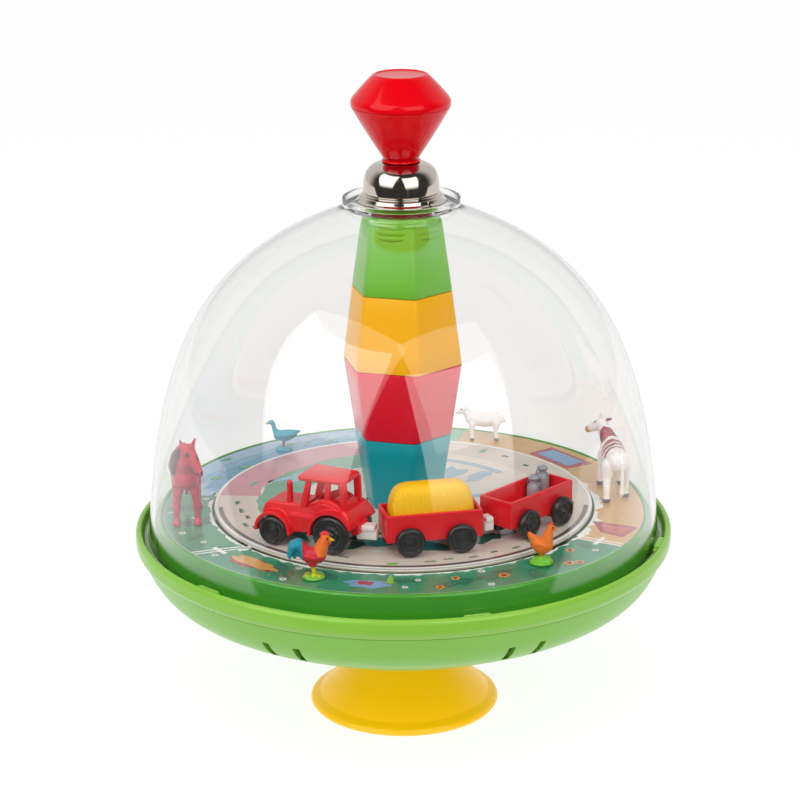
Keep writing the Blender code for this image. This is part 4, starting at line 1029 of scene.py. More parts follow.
def draw_card(farm):
    """Ink of the outer ring: field, farmyard, meadow behind and pond."""
    sheet = InkSheet(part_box("landscape_card")[1].z, farm.layer)
    field = ink("field", farm.field, srgb(66, 150, 112), 0.5, 0.08)
    deep = ink("field_deep", srgb(30, 112, 84), srgb(42, 132, 100), 0.5)
    meadow = ink("meadow", srgb(120, 190, 150), srgb(90, 168, 126), 0.5)
    yard = ink("yard", farm.yard, srgb(198, 148, 84), 0.55, 0.1)
    pond = ink("pond", farm.pond, srgb(96, 156, 190), 0.4)
    pond_pale = ink("pond_pale", srgb(158, 186, 212), srgb(136, 176, 204), 0.5)
    pond_deep = ink("pond_deep", srgb(84, 150, 184), srgb(70, 134, 172), 0.4)
    white = ink("white", srgb(244, 244, 240), srgb(226, 230, 228), 0.3, 0.0)
    pink = ink("pink", srgb(226, 120, 160), srgb(206, 92, 138), 0.4)
    leaf = ink("leaf", srgb(84, 160, 110), srgb(60, 136, 92), 0.4)
    straw = ink("straw", srgb(222, 168, 84), srgb(198, 140, 62), 0.6)
    maroon = ink("maroon", srgb(172, 56, 76), srgb(150, 40, 62), 0.5)
    hatch = ink("hatch", srgb(208, 104, 92), srgb(180, 66, 74), 0.8, 0.2)
    water = ink("water", srgb(112, 160, 204), srgb(140, 180, 216), 0.4)
    lime = ink("lime", srgb(128, 200, 88), srgb(96, 176, 70), 0.4)
    inner, outer = 68.0, 85.1
    sheet.band(inner, outer, -100, 59, 1, field)
    sheet.band(inner, outer, 59, 163, 1, yard)
    sheet.band(inner, outer, 163, 190, 1, meadow)
    sheet.band(inner, outer, -170, -100, 1, pond)
    sheet.band(wavy(78.5, 1.2, 0.12, 3.0), outer, -168, -112, 2, pond_pale)
    sheet.band(inner, wavy(74.5, 1.2, 0.1, 8.0), -166, -104, 2, pond_deep)
    sheet.blob((80, -103), 7, 4.5, 30, 3, pond_pale, 0.3, 26, 2.0)
    sheet.blob((72, -99), 4, 3.2, 10, 3, pond_pale, 0.3, 22, 4.0)
    sheet.blob((81.5, -97), 3.6, 1.6, -70, 4, leaf, 0.3, 18, 5.0)
    sheet.blob((76, -101), 3.4, 1.3, -76, 4, leaf, 0.3, 18, 6.0)
    sheet.blob((79, -108), 2.8, 1.1, -60, 4, pink, 0.35, 18, 3.0)
    for place, turn, seed in (((74, -112), 20, 1), ((71, -124), 40, 2), ((82, -126), 30, 3),
                              ((78, -146), 60, 4),
                              ((74, -158), 80, 5)):
        sheet.blob(place, 2.4, 1.3, turn, 4, leaf, 0.3, 16, seed * 1.7)
    for place, seed in (((76, -118), 1), ((79, -121), 2), ((73.5, -121.5), 3), ((77, -124.5), 4),
                        ((72, -137), 5),
                        ((80, -150), 6), ((77, -152), 7), ((74, -150), 8)):
        sheet.blob(place, 0.9, 0.28, seed * 47, 4, pink, 0.2, 10, seed * 2.3)
    sheet.blob((79.5, -160), 5.5, 2.2, 78, 3, pond_pale, 0.3, 20, 9.0)
    sheet.blob((76, 186), 3.0, 1.2, 30, 3, pink, 0.3, 18, 10.0)
    for azimuth in range(-98, 57, 11):
        reach = 1.6 + (azimuth % 5) * 0.5
        sheet.blob((76.5 + (azimuth % 7) - 3, azimuth), reach * 2.2, reach, azimuth * 2.0, 2, deep, 0.35, 18,
                   azimuth * 0.31)
    sheet.band(inner, wavy(68.7, 0.7, 0.5, 1.0), -100, 60, 3, white)
    sheet.band(inner, wavy(70.2, 1.6, 0.35, 5.0), 40, 96, 3, white)
    sheet.band(inner, wavy(68.9, 0.6, 0.5, 5.0), 96, 190, 3, white)
    sheet.blob((68.9, -50.5), 2.6, 1.3, 50, 4, white, 0.3, 18, 11.0)
    sheet.blob((76.5, -40.8), 9.6, 3.4, -42, 3, maroon, 0.28, 40, 12.0)
    sheet.blob((75.6, -40.2), 9.2, 2.7, -43, 4, straw, 0.3, 46, 13.0)
    for index in range(16):
        place = (79.4 + 1.8 * math.sin(index * 2.4), -44.5 + index * 1.05)
        sheet.blob(place, 0.55, 0.16, index * 53, 4, straw, 0.1, 8, index * 1.9)
    for radius, azimuth, side in ((67.9, -51.3, -1), (68.9, 59.4, 1)):
        end = (86.0 if side < 0 else 85.0, azimuth + (-4.4 if side < 0 else 0.4))
        for shift in (-0.9, 0.9):
            sheet.stroke((radius, azimuth + shift), (min(end[0], 85.0), end[1] + shift * 0.8), 0.55, 4, white)
        post = (radius + end[0]) / 2
        turn = (azimuth + end[1]) / 2
        sheet.stroke((post, turn - 2.6), (post, turn + 2.6), 1.5, 5, white)
    sheet.shape([(68.6, 73.4), (84.6, 72.2), (82.4, 64.7), (74.2, 65.9)], 3, maroon)
    sheet.shape([(72.4, 71.6), (82.2, 71.0), (81.0, 66.2), (75.2, 67.0)], 4, hatch)
    sheet.shape([(71.6, 138.2), (82.6, 136.6), (82.2, 120.4), (70.6, 120.6)], 3, maroon)
    sheet.shape([(73.3, 136.0), (80.6, 134.9), (80.4, 122.3), (72.3, 122.4)], 4, water)
    sheet.blob((77.4, -8.6), 7.2, 2.9, -8, 3, water, 0.42, 34, 14.0)
    sheet.shape([(75.4, -11.2), (75.6, -7.2), (78.6, -7.8), (78.3, -10.9)], 4, maroon)
    sheet.stroke((77.0, -12.2), (76.6, -11.0), 0.5, 4, maroon)
    sheet.shape([(69.0, -3.5), (71.5, -4.0), (76.0, -4.3), (77.2, -3.3), (76.0, -2.4), (71.5, -2.9)], 5, lime)
    sheet.finished_piece = sheet.finished("farm_print")
    return sheet.finished_piece


def draw_road(farm):
    """Ink of the turntable: road, meadow patches, pools, and a dark band near its edge that is painted shade
    of a groove.
    """
    sheet = InkSheet(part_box("turntable")[1].z, farm.layer)
    road = ink("road", farm.road, srgb(206, 192, 176), 0.4, 0.1)
    pink = ink("road_pink", srgb(208, 148, 158), srgb(190, 128, 142), 0.4, 0.1)
    painted_groove_shade = ink("groove", srgb(108, 92, 86), srgb(92, 78, 72), 0.3, 0.0)
    white = ink("white", srgb(244, 244, 240), srgb(226, 230, 228), 0.3, 0.0)
    green = ink("patch_green", srgb(112, 172, 142), srgb(82, 148, 118), 0.5)
    dark = ink("patch_dark", srgb(40, 104, 88), srgb(54, 124, 102), 0.5)
    blue = ink("patch_blue", srgb(150, 196, 208), srgb(124, 176, 194), 0.5)
    cream = ink("patch_cream", srgb(236, 228, 214), srgb(222, 208, 190), 0.5)
    grey = ink("swirl", srgb(168, 190, 208), srgb(146, 172, 194), 0.3)
    lime = ink("lime", srgb(128, 200, 88), srgb(96, 176, 70), 0.4)
    sheet.band(13.2, 52.4, -180, 180, 1, cream, 12)
    sheet.band(52.2, 66.9, -180, 180, 2, road)
    sheet.band(wavy(51.6, 1.2, 0.1, 2.0), 66.0, -165, -95, 3, pink)
    sheet.band(65.9, 66.9, -180, 180, 4, white)
    # Painted shade: a dark band where a groove near the edge would lie in shade; the disc has no groove, and
    # the band covers only the front half.
    sheet.band(64.0, 65.5, -84, 84, 4, painted_groove_shade)
    sheet.band(wavy(40, 5.0, 0.05, 2.0), wavy(51.8, 0.5, 0.3, 2.0), -170, -38, 2, green)
    sheet.blob((36, -60), 14, 7, 10, 3, blue, 0.4, 30, 21.0)
    sheet.blob((44, -128), 13, 4.6, 34, 3, blue, 0.4, 30, 22.0)
    for place, reach, breadth, turn, seed in (((46, -18), 9, 3.8, 10, 1), ((47, 12), 7, 3.4, -12, 2),
                                              ((48, 38), 8, 3.6, 30, 3), ((33, 4), 10, 5, 4, 4),
                                              ((46, 64), 6, 3.2, 60, 5)):
        sheet.blob(place, reach, breadth, turn, 3, dark, 0.45, 30, seed * 3.7)
    sheet.band(44.0, 46.6, 128, 176, 3, grey)
    sheet.blob((38, 132), 6.5, 3.0, 44, 3, grey, 0.4, 26, 23.0)
    sheet.blob((36, 96), 10, 4.6, 10, 3, blue, 0.5, 30, 24.0)
    sheet.blob((30, 150), 9, 4.0, 60, 3, blue, 0.5, 30, 25.0)
    sheet.blob((44, 84), 5.0, 2.4, 84, 4, grey, 0.4, 24, 26.0)
    sheet.blob((62.6, -3.4), 1.9, 0.8, -3, 5, lime, 0.2, 18, 27.0)
    for place, turn in (((59.6, 112), 30), ((55.4, 118), 30), ((60.4, 150), 60), ((57.0, -108), 60)):
        sheet.blob(place, 2.6, 0.9, turn, 4, green, 0.3, 16, turn * 0.9)
    return sheet.finished("road_print")


def build_landscape(shell, farm):
    """Card ring with its print, flowers and the printed figures on it."""
    low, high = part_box("landscape_card")
    card = [(67.8, low.z / MM), (85.2, low.z / MM), (85.2, high.z / MM), (67.8, high.z / MM)]
    paper = ink("paper", srgb(238, 236, 228), srgb(222, 220, 210), 0.3)
    base = turned("farm_card", card, paper, shell.steps, 0.15)
    fit(base, "shell", ["landscape_card"])
    fit(draw_card(farm), "shell", ())
    ground = high.z + 3.2 * farm.layer
    petals = ink("petal_white", srgb(248, 248, 244), srgb(230, 232, 230), 0.2, 0.0)
    amber = ink("heart_amber", srgb(196, 148, 60), srgb(170, 116, 40), 0.4)
    orange = ink("petal_orange", srgb(236, 170, 92), srgb(222, 146, 66), 0.5)
    red = ink("heart_red", srgb(176, 40, 32), srgb(140, 24, 24), 0.4)
    flowers = flower_tree()
    spots = [(*(polar(*place) * MM), ground) for place in DAISIES]
    daisies = grown("daisies", points_mesh("seed", spots), flowers, {
        "Petals": farm.petals, "Reach": farm.daisy_reach, "Petal length": 0.62 * MM, "Petal width": 0.34 * MM,
        "Heart": 0.3 * MM, "Thickness": farm.layer * 2, "Petal paint": petals, "Heart paint": amber})
    fit(daisies, "shell", ())
    spots = [(*(polar(*place) * MM), ground) for place in POPPIES]
    poppies = grown("orange_flowers", points_mesh("seed", spots), flowers, {
        "Petals": 5, "Reach": 0.75 * MM, "Petal length": 1.0 * MM, "Petal width": 0.72 * MM, "Seed": 8,
        "Heart": 0.55 * MM, "Thickness": farm.layer * 2, "Petal paint": orange, "Heart paint": red})
    fit(poppies, "shell", ())


def build_turntable(shell, farm):
    """Turntable disc with its road print and grass."""
    disc = [(13.0, 73.9), (64.6, 73.9), (66.8, 75.4), (67.1, 76.2), (66.6, 76.7), (13.0, 76.7)]
    base = turned("road_disc", disc, plastic("road_plastic_beige", srgb(226, 214, 200), 0.2), shell.steps,
                  0.3)
    fit(base, "carousel", ["turntable"])
    fit(draw_road(farm), "carousel", ())
    grass = ink("grass", srgb(60, 118, 74), srgb(44, 98, 62), 0.4, 0.05)
    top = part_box("turntable")[1].z + 3.2 * farm.layer
    spots = [(*(polar(*place) * MM), top) for place in TUFTS]
    tufts = grown("grass_tufts", points_mesh("seed", spots), tuft_tree(), {
        "Blades": farm.blades, "Thickness": farm.layer * 2, "Paint": grass})
    fit(tufts, "carousel", ())


# ---------------------------------------------------------------- vehicles
def standing(x, y, z, heading):
    """Place at a point, turned about Z by a heading in radians."""
    return Matrix.Translation((x, y, z)) @ Matrix.Rotation(heading, 4, "Z")


def on_axles(rear_node, front_node, road):
    """Frame between two axles: X along the vehicle from its rear axle, Z from the road."""
    rear, front = middle(rear_node), middle(front_node)
    heading = math.atan2(front.y - rear.y, front.x - rear.x)
    return standing(rear.x, rear.y, road, heading)


def ring_arch(x, z, inner, outer, low, high, start=-12, end=192, steps=28):
    """Part of a ring across the vehicle, for a wheel arch, as a bmesh."""
    angles = [math.radians(start + (end - start) * k / steps) for k in range(steps + 1)]
    outline = [(x + outer * math.cos(a), z + outer * math.sin(a)) for a in angles]
    outline += [(x + inner * math.cos(a), z + inner * math.sin(a)) for a in reversed(angles)]
    return prism_work(outline, low, high)


def wheel_outline(radius, width):
    """Wheel with a rounded tread, a stepped disc and a hub cap on its outer face."""
    half = width / 2
    return [(0, -half + 0.6), (radius * 0.5, -half + 0.6), (radius * 0.56, -half), (radius - 0.7, -half),
            (radius, -half + 0.7), (radius, half - 0.8), (radius - 0.35, half - 0.25), (radius - 0.9, half),
            (radius * 0.72, half), (radius * 0.68, half - 0.6), (radius * 0.47, half - 0.6),
            (radius * 0.44, half + 0.1), (radius * 0.34, half + 0.1), (radius * 0.3, half - 0.35),
            (radius * 0.2, half - 0.35), (radius * 0.16, half + 0.15), (0, half + 0.25)]


def build_wheels(vehicle):
    """Wheels and axles of the six axle sets."""
    black = plastic("wheel_black", vehicle.black, 0.17, 0.2, 0.03)
    rubbed = bare_steel()
    for label in ("tractor_rear", "tractor_front", "wagon_1_front", "wagon_1_rear", "wagon_2_front",
                  "wagon_2_rear"):
        axle = middle(label + "_axle")
        low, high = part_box(label + "_wheel_left")
        radius = (high.z - low.z) / 2 / MM
        width = {"tractor_rear": 4.2, "tractor_front": 3.6}.get(label, 2.8)
        ends = {side: middle(f"{label}_wheel_{side}") for side in ("left", "right")}
        for side, centre in ends.items():
            out = centre - axle
            turn = Vector((out.x, out.y, 0)).to_track_quat("Z", "Y").to_matrix().to_4x4()
            centre = Vector((centre.x, centre.y, axle.z))
            wheel = turned(f"{label}_tyre_{side}", wheel_outline(radius, width), black, vehicle.wheel_steps,
                           0.3,
                           Matrix.Translation(centre) @ turn)
            fit(wheel, label + "_axle_set", [f"{label}_wheel_{side}"])
        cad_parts[label + "_axle"].data.materials.clear()
        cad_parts[label + "_axle"].data.materials.append(rubbed)


def build_tractor(vehicle):
    """Tractor with arched fenders, open cab and exhaust."""
    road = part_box("tractor_rear_wheel_left")[0].z
    place = on_axles("tractor_rear_axle", "tractor_front_axle", road)
    red = plastic("vehicle_red", vehicle.red, 0.3, 0.1, 0.08)
    black = plastic("wheel_black", vehicle.black, 0.17, 0.2, 0.03)
    front, rear_z, front_z = 22.0, 6.7, 5.1
    core = [(16.6, 4.8), (18.0, 8.6), (26.6, 8.8), (27.2, 10.6), (26.4, 13.0), (25.2, 14.3), (18.0, 14.6),
            (11.2, 14.7),
            (10.2, 14.9), (7.0, 16.7), (4.2, 17.9), (1.6, 18.0), (-0.8, 17.0), (-2.6, 15.5), (-5.0, 15.0),
            (-7.2, 10.8), (-6.8, 9.9), (-4.0, 9.4), (8.6, 5.8)]
    shell = prism_work(core, -6.3, 6.3, bevel=0.7)
    for vert in shell.verts:
        high = vert.co.z / MM - 11.5
        if high > 0 and vert.co.x > 8 * MM:
            vert.co.y *= 1 - 0.05 * min(high, 3.2)
    works = [shell]
    for flip in (-1, 1):
        works.append(ring_arch(0, rear_z, 7.35, 8.55, *sorted((flip * 5.4, flip * 9.6)), -8, 158))
        works.append(ring_arch(front, front_z, 5.65, 6.75, *sorted((flip * 5.2, flip * 9.4)), -4, 186))
        board = [(8.0, 5.9), (16.8, 4.9), (17.6, 7.6), (16.4, 11.4), (12.0, 11.5), (8.4, 11.2), (7.6, 9.0)]
        works.append(prism_work(board, *sorted((flip * 5.4, flip * 7.1)), bevel=0.3))
        web = [(6.2, 12.4), (7.6, 15.3), (4.0, 17.0), (0.0, 16.6), (-3.4, 14.6), (-5.6, 12.6), (-4.6, 12.0)]
        works.append(prism_work(web, *sorted((flip * 5.4, flip * 7.4)), bevel=0.5))
    tail = prism_work([(-2.6, 15.1), (-5.2, 15.0), (-7.6, 10.9), (-7.0, 9.7), (-5.8, 10.6), (-3.0, 13.6)],
                      -9.5, 9.5,
                      bevel=0.35)
    for vert in tail.verts:
        vert.co.y *= 1 - 0.062 * max(0.0, vert.co.z / MM - 10.9)
    works.append(tail)
    works.append(prism_work([(-4.6, 9.8), (-8.0, 9.8), (-8.0, 6.4), (-5.4, 5.8), (-4.6, 6.4)], -4.0, 4.0,
                            bevel=0.4))
    body = show("tractor_shell", merged(works, "tractor_shell", None), red)
    fuse = body.modifiers.new("fuse", "REMESH")
    fuse.mode = "VOXEL"
    fuse.voxel_size = 0.16 * MM
    calm = body.modifiers.new("calm", "SMOOTH")
    calm.iterations = 3
    keep_evaluated(body)
    cut(body, [block_work((8.8, 9.2, 7.0), (3.4, 0, 17.2), 0.6)])
    body.data.transform(place)
    fit(body, "carousel", ["tractor_body"])
    plan = [(13.2, 7.3), (-4.0, 5.9), (-4.0, -5.9), (13.2, -7.3)]
    roof = prism_work(softened(plan, 1.6, 4, 5), 23.7, 25.5, "Z", 0.0)
    rim = [e for e in roof.edges if e.calc_face_angle(0) > math.radians(60)]
    bmesh.ops.bevel(roof, geom=rim, offset=0.7 * MM, segments=4, profile=0.5, affect="EDGES")
    posts = [roof]
    for flip in (-1, 1):
        for foot, head, low in (((10.3, 12.9), (8.6, 10.5), 14.0), ((1.7, 3.8), (1.6, 3.6), 17.0),
                                ((-4.7, -2.3), (-4.3, -1.9), 14.6)):
            outline = [(foot[0], low), (foot[1], low), (head[1], 24.2), (head[0], 24.2)]
            posts.append(prism_work(outline, *sorted((flip * 4.5, flip * 6.1)), bevel=0.35))
    posts.append(block_work((1.4, 10, 1.6), (10.8, 0, 14.8), 0.3))
    posts.append(block_work((1.6, 9.0, 3.2), (-3.2, 0, 15.6), 0.5))
    posts.append(block_work((3.6, 6.4, 4.4), (0.0, 0, 15.2), 0.6))
    wheel = [(1.6 + 0.22 * math.cos(a * math.pi / 4), 0.22 * math.sin(a * math.pi / 4)) for a in range(8)]
    steering = turned_work(wheel, 32)
    steering_turn = Matrix.Translation((6.2 * MM, 0, 18.6 * MM)) @ Matrix.Rotation(math.radians(-35), 4, "Y")
    bmesh.ops.transform(steering, matrix=steering_turn, verts=steering.verts)
    posts.append(steering)
    posts.append(rod_work((8.4, 0, 15.6), (6.2, 0, 18.6), 0.4, steps=16))
    cab = merged(posts, "tractor_house", place)
    smooth(cab)
    fit(show("tractor_house", cab, red), "carousel", ["tractor_cab"])
    pipe = [rod_work((17.8, 3.5, 13.6), (17.8, 3.5, 21.1), 1.12, 1.02, 40, True)]
    stack = merged(pipe, "exhaust_stack", place)
    smooth(stack, 40)
    fit(show("exhaust_stack", stack, red), "carousel", ["tractor_exhaust"])
    under = [block_work((31, 6.6, 3.4), (11, 0, 5.5), 0.4), block_work((8, 6.6, 5), (0, 0, 6.2), 0.4),
             block_work((9, 9.4, 1.6), (11.4, 0, 6.9), 0.3), block_work((4, 4, 3), (11.4, 0, 4.0), 0.5)]
    belly = merged(under, "tractor_belly", place)
    smooth(belly)
    fit(show("tractor_belly", belly, black), "carousel", ["tractor_chassis"])


def wagon_frames():
    """Place of each wagon: its middle between the axles, X towards its rear axle."""
    frames = []
    for number in (1, 2):
        first, last = middle(f"wagon_{number}_front_axle"), middle(f"wagon_{number}_rear_axle")
        centre = (first + last) / 2
        heading = math.atan2(last.y - first.y, last.x - first.x)
        frames.append(standing(centre.x, centre.y, 0, heading))
    return frames


def wagon_work():
    """Thin-walled open box with a rolled top edge and a floor, about its own middle."""
    outer_x, outer_y, wall = 16.5, 7.0, 1.15
    low, floor, high = 81.5, 84.2, 91.0
    work = bmesh.new()
    levels = [(outer_x - 0.4, outer_y - 0.4, low), (outer_x, outer_y, low + 0.4),
              (outer_x, outer_y, high - 0.3),
              (outer_x - 0.3, outer_y - 0.3, high), (outer_x - wall + 0.2, outer_y - wall + 0.2, high),
              (outer_x - wall, outer_y - wall, high - 0.3), (outer_x - wall, outer_y - wall, floor + 0.3),
              (outer_x - wall - 0.3, outer_y - wall - 0.3, floor)]
    rings = []
    for half_x, half_y, z in levels:
        corner = 0.45
        loop = []
        for sx, sy in ((1, 1), (-1, 1), (-1, -1), (1, -1)):
            first = (half_x * sx, (half_y - corner) * sy)
            last = ((half_x - corner) * sx, half_y * sy)
            bend = (half_x * sx * 0.994, half_y * sy * 0.986)
            loop += [first, bend, last] if sx * sy > 0 else [last, bend, first]
        rings.append([work.verts.new((x * MM, y * MM, z * MM)) for x, y in loop])
    join_rings(work, rings)
    work.faces.new(rings[0][::-1])
    work.faces.new(rings[-1])
    return work


def build_wagons(vehicle):
    """Two open wagons with their chassis, and the white couplings between them."""
    red = plastic("vehicle_red", vehicle.red, 0.3, 0.1, 0.08)
    black = plastic("wheel_black", vehicle.black, 0.17, 0.2, 0.03)
    frames = wagon_frames()
    for number, place in enumerate(frames, 1):
        works = [wagon_work()]
        tones = [0]
        for end in (-1, 1):
            x = end * 8.8
            works.append(block_work((4.2, 10.6, 2.4), (x, 0, 80.6), 0.4))
            works.append(block_work((3.2, 14.6, 1.5), (x, 0, 82.1), 0.35))
            works.append(rod_work((x, -7.4, 82.1), (x, 7.4, 82.1), 1.5, steps=32))
            works.append(block_work((4.0, 3.4, 2.0), (end * 14.4, 0, 80.9), 0.4))
            tones += [0, 1, 1, 1]
        mesh = merged(works, f"wagon_box_{number}", place, tones)
        smooth(mesh)
        fit(show(f"wagon_box_{number}", mesh, red, black), "carousel", [f"wagon_{number}"])
    tractor = on_axles("tractor_rear_axle", "tractor_front_axle", 0)
    reach = 16.5 * MM + 1.44 * MM
    ends = [(tractor @ Vector((-5.4 * MM, 0, 0)), frames[0] @ Vector((-reach, 0, 0))),
            (frames[0] @ Vector((reach, 0, 0)), frames[1] @ Vector((-reach, 0, 0)))]
    for index, (start, end) in enumerate(ends):
        along = end - start
        length = along.length / MM - 0.3
        works = [block_work((length, 3.4, 3.4), (0, 0, 82.6), 0.5),
                 block_work((length * 0.8, 4.4, 1.9), (0, 0, 85.0), 0.45)]
        spot = (start + end) / 2
        place = standing(spot.x, spot.y, 0, math.atan2(along.y, along.x))
        mesh = merged(works, f"white_link_{index + 1}", place)
        smooth(mesh)
        fit(show(f"white_link_{index + 1}", mesh, white_nylon()), "carousel", [f"coupling_{index + 1}"])


def bale_work():
    """Rounded loaf for the hay, about the wagon's middle."""
    work = bmesh.new()
    half_x, half_y, low, high = 14.4, 5.5, 84.6, 99.9
    columns, rows = 150, 26
    section = []
    for index in range(rows + 1):
        angle = math.pi * index / rows
        across = math.copysign(abs(math.cos(angle)) ** 0.62, math.cos(angle))
        section.append((half_y * across, low + (high - low) * abs(math.sin(angle)) ** 0.5))
    rings = []
    for index in range(columns + 1):
        share = -1 + 2 * index / columns
        squeeze = max(0.0, 1 - abs(share) ** 7) ** 0.5
        size = 0.42 + 0.58 * squeeze
        loop = []
        for y, z in section:
            loop.append(work.verts.new((share * half_x * MM, y * size * MM,
                                        (low + (z - low) * (0.3 + 0.7 * squeeze)) * MM)))
        rings.append(loop)
    for one, two in zip(rings, rings[1:]):
        for index in range(rows):
            work.faces.new((one[index], one[index + 1], two[index + 1], two[index]))
        work.faces.new((one[0], two[0], two[rows], one[rows]))
    work.faces.new(rings[0])
    work.faces.new(rings[-1][::-1])
    return work


def build_loads(vehicle):
    """Hay bale and milk churns."""
    frames = wagon_frames()
    hay = plastic("hay_plastic", vehicle.hay, 0.42, 0.35, 0.3)
    mesh = settle(bale_work(), "hay_bale")
    bale = grown("hay_bale", mesh, rib_tree(), {
        "Length": 29 * MM, "Ribs": vehicle.ribs, "Depth": vehicle.rib_depth, "Paint": hay})
    bale.data.transform(frames[0])
    smooth(bale.data, 60)
    fit(bale, "carousel", ["hay_load"])
    grey = plastic("churn_plastic", vehicle.churn, 0.34, 0.25, 0.1)
    for index, (x, y, height) in enumerate(((12.4, 3.2, 10.7), (7.3, 3.0, 8.4))):
        outline = [(0, 0.3), (2.2, 0.3), (2.35, 0.8), (2.35, height - 4.4), (2.1, height - 3.6),
                   (1.5, height - 2.7),
                   (1.35, height - 1.5), (1.4, height - 1.3), (1.95, height - 1.2), (1.95, height - 0.5),
                   (1.5, height - 0.3), (1.1, height), (0, height)]
        works = [turned_work(softened(outline, 0.2), 48)]
        for side in (-1, 1):
            angles = [a * math.pi / 4 for a in range(8)]
            ring = [(0.8 + 0.2 * math.cos(a), 0.2 * math.sin(a)) for a in angles]
            handle = turned_work(ring, 20)
            upright = Matrix.Rotation(math.pi / 2, 4, "Y")
            move = Matrix.Translation((0, side * 1.9 * MM, (height - 2.9) * MM)) @ upright
            bmesh.ops.transform(handle, matrix=move, verts=handle.verts)
            works.append(handle)
        place = frames[1] @ Matrix.Translation((x * MM, y * MM, 84.2 * MM))
        mesh = merged(works, f"churn_{index + 1}", place)
        smooth(mesh, 40)
        fit(show(f"churn_{index + 1}", mesh, grey), "carousel", [f"milk_churn_{index + 1}"])


# ---------------------------------------------------------------- animals
def limb(*points):
    """Chain of (x, y, z, radius) stations."""
    return list(points)


def both_sides(chain):
    """A chain and its mirror image."""
    return [chain, [(x, -y, z, r) for x, y, z, r in chain]]


def capsule(total, first, last):
    """Hull of two balls, added to a bmesh."""
    work = bmesh.new()
    for x, y, z, r in (first, last):
        bmesh.ops.create_icosphere(work, subdivisions=2, radius=r * MM,
                                   matrix=Matrix.Translation((x * MM, y * MM, z * MM)))
    hull = bmesh.ops.convex_hull(work, input=work.verts)
    spare = [g for g in hull["geom_interior"] + hull["geom_unused"] if isinstance(g, bmesh.types.BMVert)]
    bmesh.ops.delete(work, geom=spare, context="VERTS")
    part = bpy.data.meshes.new("part")
    work.to_mesh(part)
    work.free()
    total.from_mesh(part)
    bpy.data.meshes.remove(part)


def figure(name, node, place, chains, mounds, tint, figures):
    """Figure modelled from tapered limbs, fused, smoothed and painted."""
    total = bmesh.new()
    for chain in chains:
        for first, last in zip(chain, chain[1:]):
            capsule(total, first, last)
    for x, y, z, half_x, half_y, half_z in mounds:
        matrix = Matrix.Translation((x * MM, y * MM, z * MM)) @ Matrix.Diagonal((half_x, half_y, half_z, 1))
        bmesh.ops.create_icosphere(total, subdivisions=3, radius=MM, matrix=matrix)
    piece = show(name, settle(total, name, None, False), figure_paint(name + "_paint"))
    fuse = piece.modifiers.new("fuse", "REMESH")
    fuse.mode = "VOXEL"
    fuse.voxel_size = figures.cell
    calm = piece.modifiers.new("calm", "SMOOTH")
    calm.iterations = figures.rounds
    calm.factor = 0.5
    keep_evaluated(piece)
    mesh = piece.data
    paint = mesh.attributes.new("Tint", "FLOAT_COLOR", "POINT")
    for index, vert in enumerate(mesh.vertices):
        paint.data[index].color = (*tint(vert.co / MM), 1.0)
    for vert in mesh.vertices:
        vert.co.z = max(vert.co.z, 0.0)
    x, y, heading = place
    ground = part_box("landscape_card")[1].z + 0.15 * MM
    mesh.transform(standing(x * MM, y * MM, ground, math.radians(heading)))
    mesh.materials.clear()
    mesh.materials.append(figure_paint(name + "_paint"))
    mesh.shade_smooth()
    return fit(piece, "shell", [node])


def near(point, place, reach):
    """Whether a point lies within reach of a place."""
    return (point - Vector(place)).length < reach


CRIMSON = srgb(204, 26, 62)
DARK_MANE = srgb(88, 44, 62)
IVORY = srgb(250, 247, 244)
MAROON = srgb(158, 44, 66)
HOOF = srgb(70, 62, 66)
EYE = srgb(26, 20, 24)


def horse_tint(p):
    """Crimson coat with a dark mane on one side, and dark eyes."""
    if near(p, (13.4, 4.6, 26.4), 0.9) or near(p, (12.9, 0.9, 27.2), 0.9):
        return EYE
    if near(p, (15.6, 5.4, 21.2), 0.6) or near(p, (15.6, 3.9, 21.2), 0.6):
        return EYE
    if 3.0 < p.x < 12.0 and p.y < -1.5 - 0.25 * (27.0 - p.z) and 18.2 < p.z < 28.8:
        return DARK_MANE
    shade = 0.9 + 0.25 * noise.noise(p * 0.35)
    return tuple(value * shade for value in CRIMSON)


def cow_tint(p):
    """White coat with maroon bands over the back, dark hooves and a warm muzzle."""
    if p.z < 1.5:
        return HOOF
    if near(p, (12.3, 8.6, 19.7), 1.7):
        return srgb(236, 160, 110)
    if near(p, (10.6, 5.6, 22.9), 0.6) or near(p, (13.0, 5.2, 22.9), 0.5):
        return EYE
    wave = 1.6 * noise.noise(p * 0.28)
    along = p.x + wave * 0.8 + 0.3 * p.y
    for centre, half, low in ((-3.8, 1.2, 14.6), (-0.4, 0.9, 13.6), (2.6, 1.0, 14.2), (7.8, 1.8, 16.2)):
        if abs(along - centre) < half and p.z > low + 0.5 * abs(wave):
            return MAROON
    if abs(p.x + 3.4) < 0.9 and p.y > 2.4 and 8.5 < p.z < 12.5:
        return MAROON
    return IVORY


def sheep_tint(p):
    """White fleece with dark hooves and eyes."""
    if p.z < 1.1:
        return HOOF
    if near(p, (8.6, 1.2, 12.3), 0.4) or near(p, (8.6, -1.2, 12.3), 0.4):
        return EYE
    return IVORY


def duck_tint(p):
    """Teal duck with a yellow bill and reddish legs on a teal mound."""
    if p.x > 5.9 and p.z > 9.5:
        return srgb(226, 190, 80)
    if 1.6 < p.z < 3.6 and abs(p.x) < 1.2:
        return srgb(150, 70, 62)
    return srgb(36, 164, 184)


